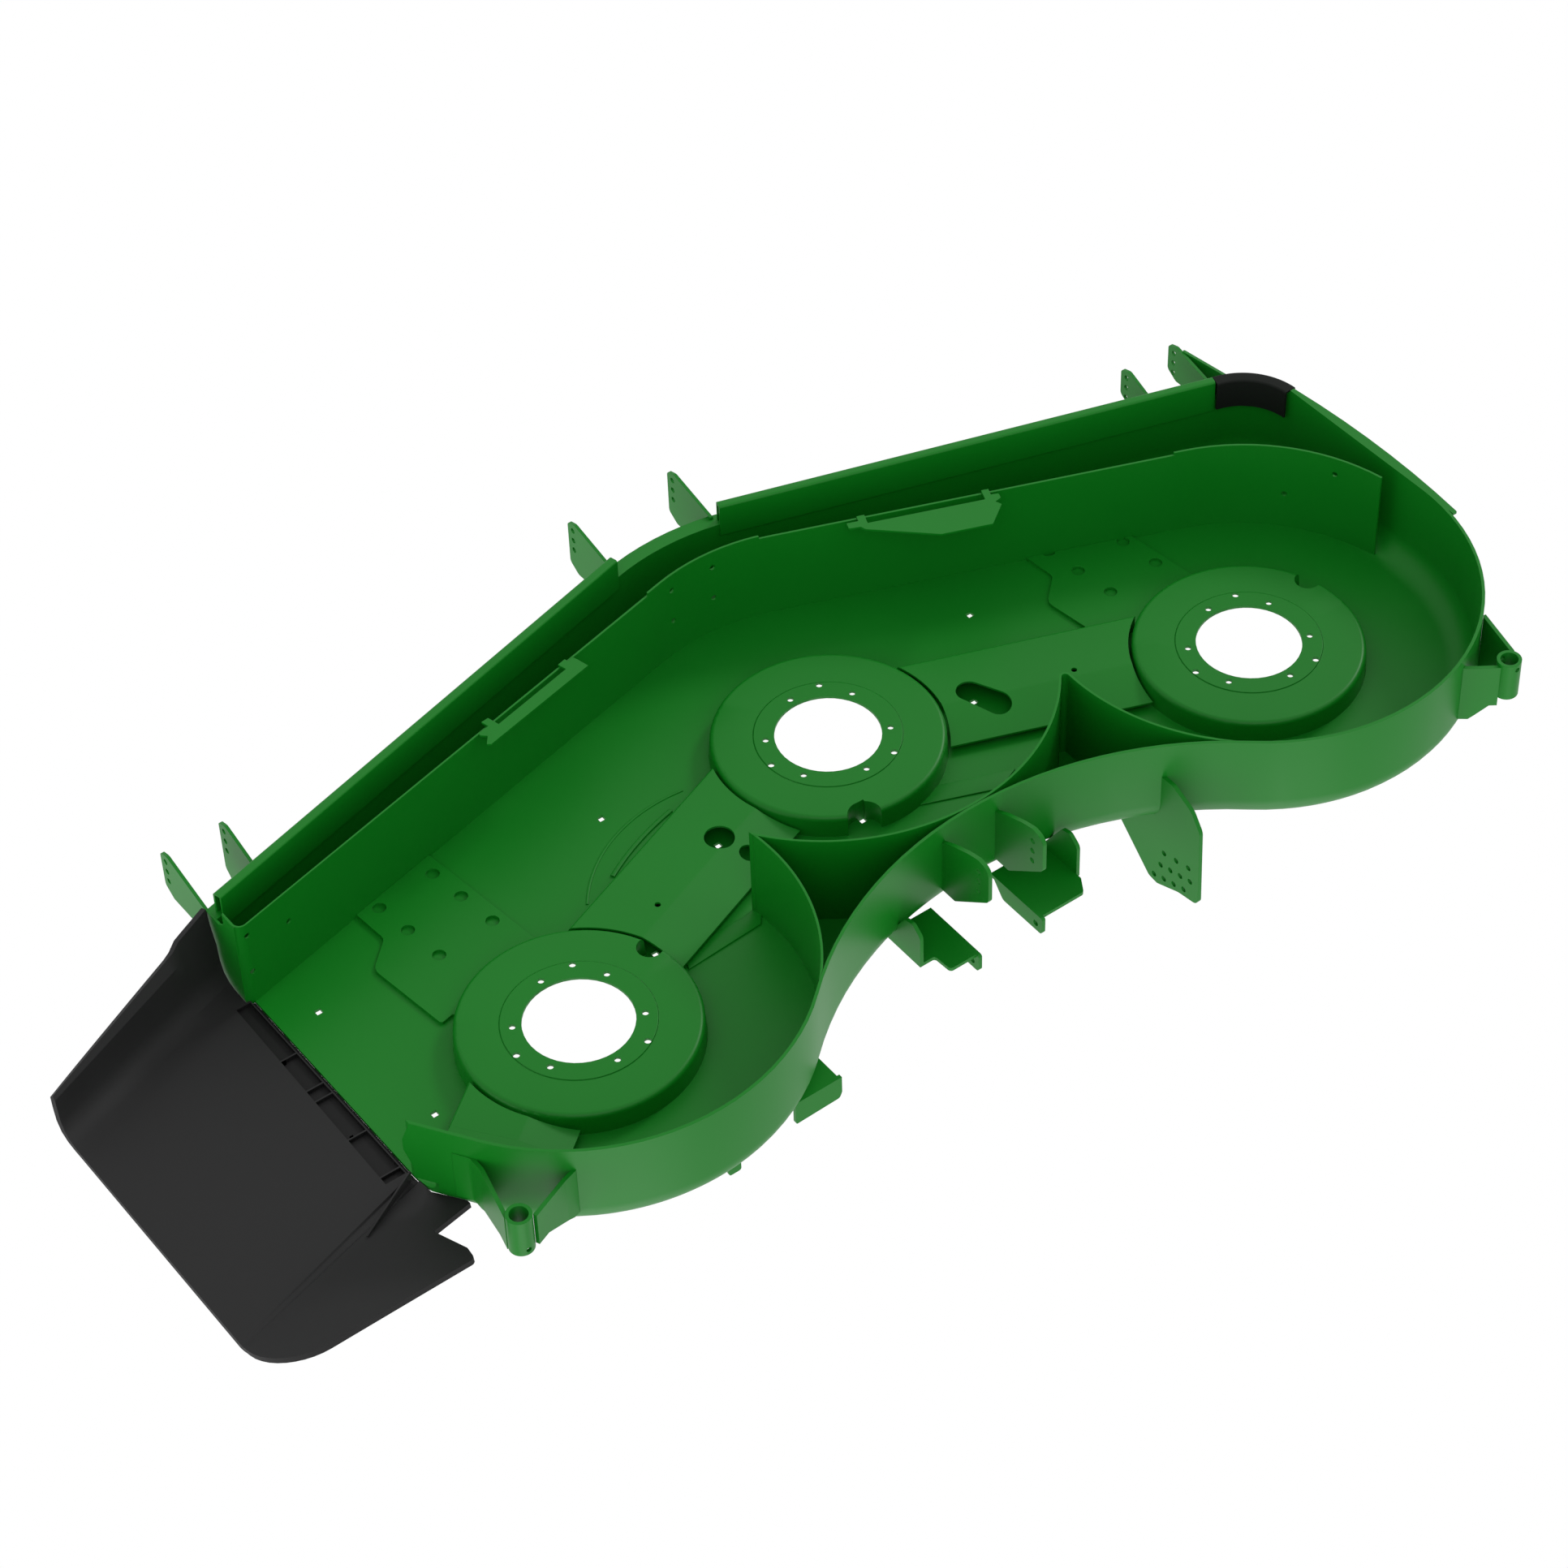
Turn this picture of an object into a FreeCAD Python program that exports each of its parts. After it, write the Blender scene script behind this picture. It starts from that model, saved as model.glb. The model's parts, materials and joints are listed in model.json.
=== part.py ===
import FreeCAD, Part
import math
import os
from FreeCAD import Placement, Rotation, Vector

# Mower deck, three blades, side discharge. Millimetres.
# The origin is on the axis of the centre blade spindle, at the underside of its well disc.
# +X is the discharge side, +Y the front, +Z up; the open side of the deck faces down.

# Driving dimensions
SIZES = {
    "spindle_across": 600.0,
    "spindle_behind": 230.7,
    "chamber_lap": 23.1762,
    "shell_wall": 4.55,
    "baffle_wall": 3.42,
    "weld_gap": 0.3,
    "skirt_drop": 118.0,
    "plate_rise": 36.0,
    "shoulder_radius": 45.0,
    "front_apex_across": -10.8,
    "front_apex_ahead": 417.9,
    "front_bend_radius": 380.0,
    "front_slope_discharge": 15.07,
    "front_slope_side": 17.56,
    "corner_radius": 97.0,
    "tail_angle": 33.2,
    "tail_inset": 2.0,
    "tail_top": 10.0,
    "tail_return_width": 13.0,
    "plate_edge_inset": 18.0,
    "end_wall_inset": 10.4,
    "end_wall_setback": 3.4888,
    "flange_drop": 82.0,
    "flange_width": 19.0,
    "lip_bulge": 12.5,
    "well_radius": 171.0,
    "well_edge_radius": 8.0,
    "well_draft": 2.5,
    "step_radius": 108.0,
    "step_height": 0.9,
    "spindle_hole_radius": 77.9,
    "spindle_bolt_circle": 90.6,
    "spindle_bolt_radius": 4.75,
    "spindle_bolt_count": 6,
    "guard_bolt_circle": 102.5,
    "guard_bolt_radius": 5.0,
    "guard_bolt_count": 3,
    "outer_relief_radius": 19.0,
    "centre_relief_radius": 25.0,
    "carriage_square": 9.5,
    "crown_inset": 20.0,
    "side_arc_inset": 28.0,
    "side_arc_end": 10.2,
    "rim_setback": 5.0,
    "baffle_corner_inset": 8.7,
    "baffle_corner_ahead": 99.3,
    "nose_radius": 9.0,
    "baffle_hole_radius": 4.5,
    "baffle_hole_high": 28.0,
    "baffle_hole_low": 88.0,
    "channel_wall": 3.0,
    "channel_inner_lap": 20.0,
    "channel_lead": 7.55,
    "channel_centre_gap": 97.5,
    "channel_discharge_inset": 17.4,
    "channel_side_inset": 75.3,
    "guard_wall": 3.2,
    "guard_band": 21.0,
    "guard_clear": 3.0,
    "member_front": 110.8,
    "member_bend": 14.0,
    "member_rear": 56.0,
    "member_rise": 6.0,
    "member_fall": 17.0,
    "member_clear": 3.0,
    "end_member_reach": 219.0,
    "end_member_angle": 36.87,
    "six_hole_wall": 5.0,
    "six_hole_radius": 10.0,
    "clip_wall": 3.6,
    "bracket_wall": 5.0,
    "bracket_hole_radius": 4.6,
    "bracket_hole_pitch": 19.0,
    "bracket_hole_drop": 57.0,
    "bracket_nose": 13.0,
    "ear_wall": 6.5,
    "ear_spacing": 95.5,
    "rear_centre_across": 10.25,
    "ear_hole_reach": 82.85,
    "hanger_wall": 6.0,
    "hanger_half_width": 136.75,
    "hanger_reach": 102.65,
    "hanger_drop": 69.0,
    "hanger_tab_right": 63.8,
    "hanger_tab_left": 43.0,
    "hanger_tab_rise": 27.0,
    "hanger_pin_radius": 5.0,
    "lift_plate_across": 281.0,
    "lift_plate_wall": 6.5,
    "lift_hole_radius": 4.7,
    "pivot_length": 63.5,
    "pivot_bore_radius": 13.0,
    "pivot_wall": 4.9,
    "pivot_pin_radius": 4.0,
    "discharge_pivot_reach": 77.8293,
    "discharge_pivot_turn": -44.9408,
    "discharge_pivot_drop": 85.0,
    "side_pivot_reach": 53.2810,
    "side_pivot_turn": -118.9538,
    "side_pivot_drop": 105.0,
    "strap_wall": 6.0,
    "chute_wall": 8.0,
    "chute_level": 33.0,
    "chute_length": 315.0,
    "chute_rear": 490.0,
    "chute_rear_drop": 8.0,
    "chute_front_drop": 81.5,
    "chute_tip_drop": 34.5,
    "chute_gap": 6.0,
    "hinge_inset": 5.0,
    "hinge_height": 55.0,
    "hinge_rod_radius": 5.0,
    "hinge_running_clear": 0.08,
    "hinge_eye_radius": 10.0,
    "knuckle_length": 46.0,
    "lug_wall": 5.0,
}

doc = FreeCAD.newDocument("mower_deck")
sheet = doc.addObject("Spreadsheet::Sheet", "Sizes")
for row, (word, value) in enumerate(SIZES.items(), start=1):
    sheet.set("A%d" % row, word)
    sheet.set("B%d" % row, "%.4f" % value)
    sheet.setAlias("B%d" % row, word)
doc.recompute()


def size(word):
    return float(sheet.get(word))


# Sizes and places worked out from the driving ones
wall = size("shell_wall")
rim = -size("skirt_drop")
under = size("plate_rise")
top = under + wall
across = size("spindle_across")
behind = size("spindle_behind")
radius = (math.hypot(across, behind) + size("chamber_lap")) / 2
gap = size("weld_gap")
bore_clear = size("hinge_running_clear")
centre_spindle = Vector(0, 0, 0)
discharge_spindle = Vector(across, -behind, 0)
side_spindle = Vector(-across, -behind, 0)
side_reach = across + radius
tail_reach = side_reach - size("tail_inset")
plate_edge = tail_reach - size("plate_edge_inset")
end_wall_across = tail_reach - size("end_wall_inset")
chute_reach = tail_reach + size("chute_length")
hinge_x = tail_reach - size("hinge_inset")
spindles = [centre_spindle, discharge_spindle, side_spindle]

# The skirt swings in behind the centre blade, round an arc that touches both outer chambers.
waist_behind = radius + gap + wall
waist_step = waist_behind - behind
waist_radius = (across**2 + waist_step**2 - radius**2) / (2 * (radius - waist_step))
waist_centre = Vector(0, -waist_behind - waist_radius, 0)
waist_angle = math.degrees(math.atan2(waist_step + waist_radius, across))


def polar(centre, length, angle):
    turn = math.radians(angle)
    return centre + Vector(length * math.cos(turn), length * math.sin(turn), 0)


def arc(centre, length, start, end):
    middle = (start + end) / 2
    return Part.Arc(polar(centre, length, start), polar(centre, length, middle), polar(centre, length, end))


def circle(place, length):
    return Part.Circle(Vector(place[0], place[1], 0), Vector(0, 0, 1), length)


def square(place, side):
    half = side / 2
    x, y = place[0], place[1]
    return path([(x - half, y - half), (x + half, y - half), (x + half, y + half), (x - half, y + half)])


def path(points, closed=True):
    """Lines through the points; a third value in a point is the radius of its corner."""
    spots = [Vector(p[0], p[1], 0) for p in points]
    turns = [p[2] if len(p) > 2 else 0.0 for p in points]
    count = len(spots)
    bends = []
    for i in range(count):
        ends = (spots[i - 1] - spots[i], spots[(i + 1) % count] - spots[i])
        if turns[i] <= 0 or (not closed and i in (0, count - 1)):
            bends.append((spots[i], None, spots[i]))
            continue
        half = ends[0].getAngle(ends[1]) / 2
        lead = turns[i] / math.tan(half)
        before = spots[i] + ends[0].normalize() * lead
        after = spots[i] + ends[1].normalize() * lead
        inward = (ends[0] + ends[1]).normalize()
        middle = spots[i] + inward * (turns[i] / math.sin(half) - turns[i])
        bends.append((before, middle, after))
    curves = []
    for i, (before, middle, after) in enumerate(bends):
        if middle is not None:
            curves.append(Part.Arc(before, middle, after))
        following = bends[(i + 1) % count][0]
        if (closed or i < count - 1) and (following - after).Length > 1e-6:
            curves.append(Part.LineSegment(after, following))
    return curves


def start_body(name, place=None):
    body = doc.addObject("PartDesign::Body", name)
    body.Label = name
    if place is not None:
        body.Placement = place
    return body


def draw(body, role, curves, level=0.0):
    plane = [item for item in body.Origin.OriginFeatures if item.Role == role][0]
    sketch = body.newObject("Sketcher::SketchObject", body.Name + "_sketch")
    sketch.AttachmentSupport = (plane, [""])
    sketch.MapMode = "FlatFace"
    sketch.AttachmentOffset = Placement(Vector(0, 0, level), Rotation())
    sketch.addGeometry(curves, False)
    sketch.Visibility = False
    return sketch


def tie(item, prop, formula):
    """Bind a property to words of the sheet, such as 'shell_wall + weld_gap'."""
    words = sorted(SIZES, key=len, reverse=True)
    parts = formula.split(" ")
    bound = ["Sizes." + part if part in words else part for part in parts]
    item.setExpression(prop, " ".join(bound))


def pad(body, role, curves, level, extent, name="pad"):
    """Extrude by an extent, given as a formula of the sheet's words or as a length."""
    feature = body.newObject("PartDesign::Pad", body.Name + "_" + name)
    feature.Profile = draw(body, role, curves, level)
    if isinstance(extent, str):
        tie(feature, "Length", extent)
    else:
        feature.Length = extent
    return feature


def cut_through(body, role, curves, level, formula, name="pocket"):
    """Cut the drawn shape from its level towards the plane's own normal."""
    doc.recompute()
    before = body.Shape.Volume
    feature = body.newObject("PartDesign::Pocket", body.Name + "_" + name)
    feature.Profile = draw(body, role, curves, level)
    feature.Reversed = True
    tie(feature, "Length", formula)
    doc.recompute()
    if not body.Shape.Volume < before - 1e-3:
        raise RuntimeError(body.Name + " pocket cuts nothing")
    return feature


def fillet_edges(body, feature, chosen, formula):
    doc.recompute()
    names = ["Edge%d" % (i + 1) for i, edge in enumerate(feature.Shape.Edges) if chosen(edge.BoundBox)]
    fillet = body.newObject("PartDesign::Fillet", body.Name + "_fillet")
    fillet.Base = (feature, names)
    tie(fillet, "Radius", formula)
    return fillet


def join(name, pieces):
    fuse = doc.addObject("Part::MultiFuse", name)
    fuse.Shapes = pieces
    fuse.Refine = True
    return fuse


def trim(name, base, tool):
    cut = doc.addObject("Part::Cut", name)
    cut.Base = base
    cut.Tool = tool
    cut.Refine = True
    return cut


def keep_inside(name, base, tool):
    common = doc.addObject("Part::Common", name)
    common.Base = base
    common.Tool = tool
    common.Refine = True
    return common


def block(name, low, high):
    box = doc.addObject("Part::Box", name)
    box.Placement.Base = Vector(*low)
    box.Length = high[0] - low[0]
    box.Width = high[1] - low[1]
    box.Height = high[2] - low[2]
    return box


nodes = {}


def keep(name, item):
    item.Label = name
    nodes[name] = item
    return item


# Outline of the skirt, seen from above

front_slopes = [math.radians(size("front_slope_discharge")), math.radians(size("front_slope_side"))]
apex = Vector(size("front_apex_across"), size("front_apex_ahead"), 0)
tail_turn = -size("tail_angle")
tail_way = polar(Vector(), 1.0, tail_turn + 90)


def front_line(x, side, inset=0.0):
    """Y of the front wall's outer face, moved inwards by the inset; side 0 is the discharge side."""
    slope = front_slopes[side]
    away = x - apex.x if side == 0 else apex.x - x
    return apex.y - math.tan(slope) * away - inset / math.cos(slope)


corner_inset = size("corner_radius")
corner_x = -side_reach + corner_inset
corner_centre = Vector(corner_x, front_line(corner_x, 1, corner_inset), 0)


def tail_point(x, inset=0.0):
    start = polar(discharge_spindle, radius - inset, tail_turn)
    return start + tail_way * ((x - start.x) / tail_way.x)


def skirt_outline(inset, reach):
    first, second = front_slopes
    spread = inset * (1 / math.cos(second) - 1 / math.cos(first)) / (math.tan(first) + math.tan(second))
    inner = radius - inset
    side = -across - inner
    tail_end = tail_point(reach, inset)
    corners = [
        (tail_end.x, tail_end.y),
        (reach, front_line(reach, 0, inset)),
        (apex.x + spread, front_line(apex.x + spread, 0, inset), size("front_bend_radius") - inset),
        (side, front_line(side, 1, inset), size("corner_radius") - inset),
        (side, -behind),
    ]
    curves = path(corners, closed=False)
    curves.append(arc(side_spindle, inner, 180, 360 - waist_angle))
    curves.append(arc(waist_centre, waist_radius + inset, 180 - waist_angle, waist_angle))
    curves.append(arc(discharge_spindle, inner, 180 + waist_angle, 360 + tail_turn))
    curves.append(Part.LineSegment(polar(discharge_spindle, inner, 360 + tail_turn), tail_end))
    return curves


# Deck shell: top plate with a rounded shoulder, skirt, flange, lip and three pressed wells

overrun = 60.0
outer_hull = start_body("hull_outer")
outer_outline = skirt_outline(0, tail_reach)
outer_pad = pad(outer_hull, "XY_Plane", outer_outline, rim, "skirt_drop + plate_rise + shell_wall")
fillet_edges(
    outer_hull,
    outer_pad,
    lambda box: box.ZMin > top - 0.01 and box.XMin < tail_reach - 0.01,
    "shoulder_radius",
)
inner_hull = start_body("hull_inner")
inner_reach = tail_reach + overrun
inner_pad = pad(
    inner_hull, "XY_Plane", skirt_outline(wall, inner_reach), rim - overrun, "skirt_drop + plate_rise + 60"
)
fillet_edges(
    inner_hull,
    inner_pad,
    lambda box: box.ZMin > under - 0.01 and box.XMin < inner_reach - 0.01,
    "shoulder_radius - shell_wall",
)

flange_low = -size("flange_drop")
front_low = size("baffle_corner_ahead") + 6.0
front_high = apex.y + overrun
far_side = -side_reach - overrun
below_flange = block("below_flange", (far_side, front_low, rim - 1), (inner_reach, front_high, flange_low))
plate_end = block(
    "plate_end", (plate_edge, -radius - behind, -size("tail_top")), (inner_reach, front_low - 3, top + 1)
)
front_end = block("front_end", (end_wall_across, 0, rim - 1), (inner_reach, front_high, top + 1))
guard_end = corner_centre.y + size("guard_clear")
guard_seat_top = rim + size("guard_wall") + gap
guard_seat = block("guard_seat", (far_side, guard_end, rim - 1), (corner_x, front_low, guard_seat_top))
skirt_openings = join("skirt_openings", [inner_hull, below_flange, plate_end, front_end, guard_seat])
skirt = trim("skirt", outer_hull, skirt_openings)

flange_blank = start_body("flange_blank")
pad(flange_blank, "XY_Plane", skirt_outline(-size("flange_width"), tail_reach), flange_low, "shell_wall")
flange_zone = block(
    "flange_zone",
    (far_side, front_low, flange_low - 1),
    (end_wall_across, front_high, flange_low + wall + 1),
)
flange_full = keep_inside("flange_full", flange_blank, flange_zone)
flange = trim("flange", flange_full, inner_hull)

lip = start_body("lip")
lip_x = -side_reach + wall / 2
lip_rear = -behind - 70
lip_path = [
    (-side_reach - 2, lip_rear),
    (lip_x + 3.5, lip_rear),
    (lip_x, -behind),
    (lip_x, guard_end),
    (-side_reach - 3, guard_end),
]
lip_curves = path(lip_path, closed=False)
lip_curves.append(
    Part.Arc(
        Vector(-side_reach - 3, guard_end, 0),
        Vector(-side_reach - size("lip_bulge"), -behind / 2, 0),
        Vector(-side_reach - 2, lip_rear, 0),
    )
)
pad(lip, "XY_Plane", lip_curves, rim, "shell_wall")

# The tail of the skirt ends in a small pointed ear.
tail_place = Placement(tail_point(tail_reach), Rotation(Vector(0, 0, 1), tail_turn + 90))
tail_return = start_body("tail_return", tail_place)
tail_ear = size("tail_return_width")
ear_top = rim + 90
tail_outline = [(-2, rim), (0, rim), (tail_ear, rim + 36), (tail_ear, rim + 56), (0, ear_top), (-2, ear_top)]
pad(tail_return, "XZ_Plane", path(tail_outline), -wall, "shell_wall")


def turned(name, profile, centre):
    body = start_body(name, Placement(centre, Rotation()))
    feature = body.newObject("PartDesign::Revolution", name + "_turn")
    feature.Profile = draw(body, "XZ_Plane", path(profile))
    feature.ReferenceAxis = (feature.Profile[0], ["V_Axis"])
    feature.Angle = 360
    return body


well_radius = size("well_radius")
well_foot = well_radius + size("well_draft")
step = size("step_height")
reliefs = [
    (Vector(57, -160.7, 0), size("centre_relief_radius")),
    (Vector(across - 154, -behind + 50, 0), size("outer_relief_radius")),
    (Vector(-across - 157, -behind + 48, 0), size("outer_relief_radius")),
]
well_cups = []
well_tools = []
for number, spindle in enumerate(spindles, start=1):
    cup_profile = [
        (0, 0),
        (size("step_radius"), 0),
        (size("step_radius") + step, step),
        (well_radius, step, size("well_edge_radius")),
        (well_foot, top - 0.5),
        (0, top - 0.5),
    ]
    tool_profile = [
        (0, wall),
        (size("step_radius"), wall),
        (size("step_radius") + step, wall + step),
        (well_radius - wall, wall + step, size("well_edge_radius") - wall),
        (well_foot - wall, top + 1),
        (0, top + 1),
    ]
    cup_form = turned("well_cup_form_%d" % number, cup_profile, spindle)
    tool_form = turned("well_tool_form_%d" % number, tool_profile, spindle)
    centre, relief_radius = reliefs[number - 1]
    for forms, grow, made in ((cup_form, 0.0, well_cups), (tool_form, wall, well_tools)):
        relief = doc.addObject("Part::Cylinder", "relief")
        relief.Radius = relief_radius + grow
        relief.Height = 2 * top
        relief.Placement.Base = centre + Vector(0, 0, -top + (0.0 if grow else under - top))
        made.append(trim("well_part", forms, relief))

# Bolt holes of the top plate and of the wells
hole_tool = start_body("hole_tool")
holes = []
for spindle in spindles:
    holes.append(circle(spindle, size("spindle_hole_radius")))
    for word, first in (("spindle_bolt", 30.0), ("guard_bolt", 0.0)):
        count = int(round(size(word + "_count")))
        for i in range(count):
            place = polar(spindle, size(word + "_circle"), first + i * 360.0 / count)
            holes.append(circle(place, size(word + "_radius")))
carriage_places = [
    (discharge_spindle, 254.9, 261.0),
    (discharge_spindle, 231.9, 8.7),
    (discharge_spindle, -263.1, 323.7),
    (side_spindle, 259.2, 330.3),
    (centre_spindle, 46.8, -141.1),
    (discharge_spindle, -170.3, 61.8),
    (centre_spindle, 237.6, -53.6),
    (centre_spindle, -228.8, -49.9),
]
for spindle, ahead_x, ahead_y in carriage_places:
    holes += square(spindle + Vector(ahead_x, ahead_y, 0), size("carriage_square"))
pad(hole_tool, "XY_Plane", holes, -top, "plate_rise * 3")
doc.recompute()

shell_blank = join("shell_blank", [skirt, flange, lip, tail_return] + well_cups)
shell_tools = join("shell_tools", well_tools + [hole_tool])
keep("deck_shell", trim("deck_shell", shell_blank, shell_tools))

# What welds to the outside is cut to the outer form of the shell.
deck_form = join("deck_form", [outer_hull, flange_full])

# Baffles inside the deck

sheet_wall = size("baffle_wall")


def bearing(point, centre):
    away = point - centre
    return math.degrees(math.atan2(away.y, away.x))


def touch_angle(first, first_radius, second, second_radius):
    """Bearing at which the front common tangent touches two circles."""
    lean = math.degrees(math.acos((first_radius - second_radius) / (second - first).Length))
    return (bearing(second, first) - lean) % 360


def front_band(offset):
    crown = radius - size("crown_inset") + offset
    side = radius - size("side_arc_inset") + offset
    shared = touch_angle(centre_spindle, crown, side_spindle, side)
    corner_edge = tail_reach - size("baffle_corner_inset")
    corner = Vector(corner_edge - offset, size("baffle_corner_ahead") + offset, 0)
    first = bearing(corner, centre_spindle) + math.degrees(math.acos(crown / corner.Length))
    side_end = 180 - size("side_arc_end")
    return crown, side, corner, first, shared, side_end


def band_curves(near, far):
    """Closed strip between two copies of the front baffle's line."""
    curves = []
    ends = []
    for offset in (near, far):
        crown, side, corner, first, shared, side_end = front_band(offset)
        crown_start = polar(centre_spindle, crown, first)
        crown_end = polar(centre_spindle, crown, shared)
        side_start = polar(side_spindle, side, shared)
        tip = polar(side_spindle, side, side_end)
        head = Vector(corner.x, corner.y + 40, 0)
        bend = 12.0 - offset
        lead_line = [(head.x, head.y), (corner.x, corner.y, bend), (crown_start.x, crown_start.y)]
        curves += path(lead_line, closed=False)
        curves.append(arc(centre_spindle, crown, first, shared))
        curves.append(Part.LineSegment(crown_end, side_start))
        curves.append(arc(side_spindle, side, shared, side_end))
        ends.append((head, tip))
    curves.append(Part.LineSegment(ends[0][0], ends[1][0]))
    curves.append(Part.LineSegment(ends[0][1], ends[1][1]))
    return curves


front_strip = start_body("front_strip")
pad(front_strip, "XY_Plane", band_curves(-sheet_wall / 2, sheet_wall / 2), rim, "skirt_drop + plate_rise")
crown_half = 100.0
setback_end = -across - 98.0
setback_cuts = path([(crown_half, 0), (inner_reach, 0), (inner_reach, front_high), (crown_half, front_high)])
side_cut = [(-crown_half, 0), (-crown_half, front_high), (setback_end, front_high), (setback_end, 0)]
setback_cuts += path(side_cut)
cut_through(front_strip, "XY_Plane", setback_cuts, rim - 1, "rim_setback + 1", "rim")

end_wall = start_body("end_wall")
end_ahead = front_line(end_wall_across, 0, -size("flange_width")) - size("end_wall_setback")
end_root = size("baffle_corner_ahead") + 8
end_outline = [
    (end_root, rim + size("rim_setback")),
    (end_ahead - 31, flange_low),
    (end_ahead, flange_low),
    (end_ahead, top, size("shoulder_radius")),
    (end_root, top),
]
pad(end_wall, "YZ_Plane", path(end_outline), end_wall_across, "baffle_wall")
doc.recompute()
front_inside = keep_inside("front_inside", front_strip, inner_hull)


def drill(place, way, drop):
    """Tool for one small hole through the front baffle, level and along the way given."""
    tool = doc.addObject("Part::Cylinder", "drill")
    tie(tool, "Radius", "baffle_hole_radius")
    tool.Height = 24.0
    start = place - way * 12.0 - Vector(0, 0, drop)
    tool.Placement = Placement(start, Rotation(Vector(0, 0, 1), way))
    return tool


high_drop = size("baffle_hole_high")
low_drop = size("baffle_hole_low")
middle_drop = (high_drop + low_drop) / 2
crown, side_face, corner, first, shared, side_end = front_band(0)
drills = []
for angle in (80.6, 94.6):
    place = polar(centre_spindle, crown, angle)
    drills += [drill(place, polar(Vector(), 1.0, angle), drop) for drop in (high_drop, low_drop)]
for angle, drop in ((140.9, high_drop), (155.2, low_drop)):
    drills.append(drill(polar(side_spindle, side_face, angle), polar(Vector(), 1.0, angle), drop))
discharge_way = polar(Vector(), 1.0, first + 90)
for reach, drop in ((14.0, high_drop - 7), (14.0, low_drop + 4), (89.0, middle_drop)):
    drills.append(drill(corner + discharge_way * reach, polar(Vector(), 1.0, first), drop))
baffle_blank = join("front_baffle_blank", [front_inside, end_wall])
keep("front_baffle", trim("front_baffle", baffle_blank, join("baffle_drills", drills)))


def meet(first, first_radius, second, second_radius, turn):
    """Where two circles meet; turn is 1 or -1 and picks the point."""
    way = second - first
    span = way.Length
    along = (span**2 + first_radius**2 - second_radius**2) / (2 * span)
    rise = math.sqrt(first_radius**2 - along**2)
    unit = way * (1 / span)
    return first + unit * along + Vector(-unit.y, unit.x, 0) * (turn * rise)


inner_radius = radius - sheet_wall
back_radius = waist_radius + wall + gap
nose = size("nose_radius")

# The rear wall of the centre chamber and of the side chamber is one bent sheet with a rounded nose.
rear_strip = start_body("rear_strip")
nose_inner = nose - sheet_wall
nose_centre = meet(centre_spindle, inner_radius + nose, side_spindle, inner_radius + nose, 1)
rear_curves = []
strip_ends = []
for face, bend in ((inner_radius, nose), (radius, nose_inner)):
    on_centre = nose_centre * (face / (face + bend))
    on_side = side_spindle + (nose_centre - side_spindle) * (face / (face + bend))
    tip_way = (on_centre - nose_centre).normalize() + (on_side - nose_centre).normalize()
    tip = nose_centre + tip_way.normalize() * bend
    side_low = meet(side_spindle, face, waist_centre, back_radius, 1)
    centre_low = meet(centre_spindle, face, discharge_spindle, inner_radius, -1)
    side_turns = (bearing(side_low, side_spindle), bearing(on_side, side_spindle))
    rear_curves.append(arc(side_spindle, face, side_turns[0], side_turns[1]))
    rear_curves.append(Part.Arc(on_side, tip, on_centre))
    rear_curves.append(
        arc(centre_spindle, face, bearing(on_centre, centre_spindle), bearing(centre_low, centre_spindle))
    )
    strip_ends.append((side_low, centre_low))
rear_curves.append(Part.LineSegment(strip_ends[0][0], strip_ends[1][0]))
rear_curves.append(Part.LineSegment(strip_ends[0][1], strip_ends[1][1]))
pad(rear_strip, "XY_Plane", rear_curves, rim, "skirt_drop + plate_rise")
keep("rear_baffle", keep_inside("rear_baffle", rear_strip, inner_hull))

discharge_strip = start_body("discharge_strip")
discharge_curves = []
discharge_ends = []
for face in (inner_radius, radius):
    low = meet(discharge_spindle, face, waist_centre, back_radius, -1)
    high = meet(discharge_spindle, face, centre_spindle, radius + gap, 1)
    first, last = bearing(high, discharge_spindle), bearing(low, discharge_spindle) + 360
    discharge_curves.append(arc(discharge_spindle, face, first, last))
    discharge_ends.append((low, high))
discharge_curves.append(Part.LineSegment(discharge_ends[0][0], discharge_ends[1][0]))
discharge_curves.append(Part.LineSegment(discharge_ends[0][1], discharge_ends[1][1]))
pad(discharge_strip, "XY_Plane", discharge_curves, rim, "skirt_drop + plate_rise")
keep("discharge_rear_baffle", keep_inside("discharge_rear_baffle", discharge_strip, inner_hull))

# Folded clips that lie on the rim of the front baffle
clip_level = rim + size("rim_setback") - size("clip_wall")
clip_outlines = {
    "baffle_clip_left": (
        Vector(-325, 193.5, 0),
        21.7,
        [
            (-119, -8),
            (-119, 2, 3),
            (-107, 3),
            (-107, 16),
            (-96, 16),
            (-96, -5),
            (85, -5),
            (85, 14),
            (97, 14),
            (97, 3),
            (115, 3),
            (115, -9, 3),
            (97, -10),
            (92, -17),
            (-12, -60, 8),
            (-91, -60),
            (-116, -22),
            (-109, -14),
        ],
    ),
    "baffle_clip_right": (
        Vector(355, 230, 0),
        -13.5,
        [
            (-97, -26),
            (-97, 2, 3),
            (-86, 2),
            (-86, 9),
            (-72, 9),
            (-72, -6),
            (71, -6),
            (71, 14),
            (83, 16),
            (83, 3),
            (106, 3, 3),
            (98, -10),
            (111, -20),
            (107, -25),
        ],
    ),
}
for name, (centre, turn, corners) in clip_outlines.items():
    clip = start_body(name, Placement(centre, Rotation(Vector(0, 0, 1), turn)))
    pad(clip, "XY_Plane", path(corners), clip_level, "clip_wall")
    keep(name, clip)

# Rim channels folded over the front wall

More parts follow.
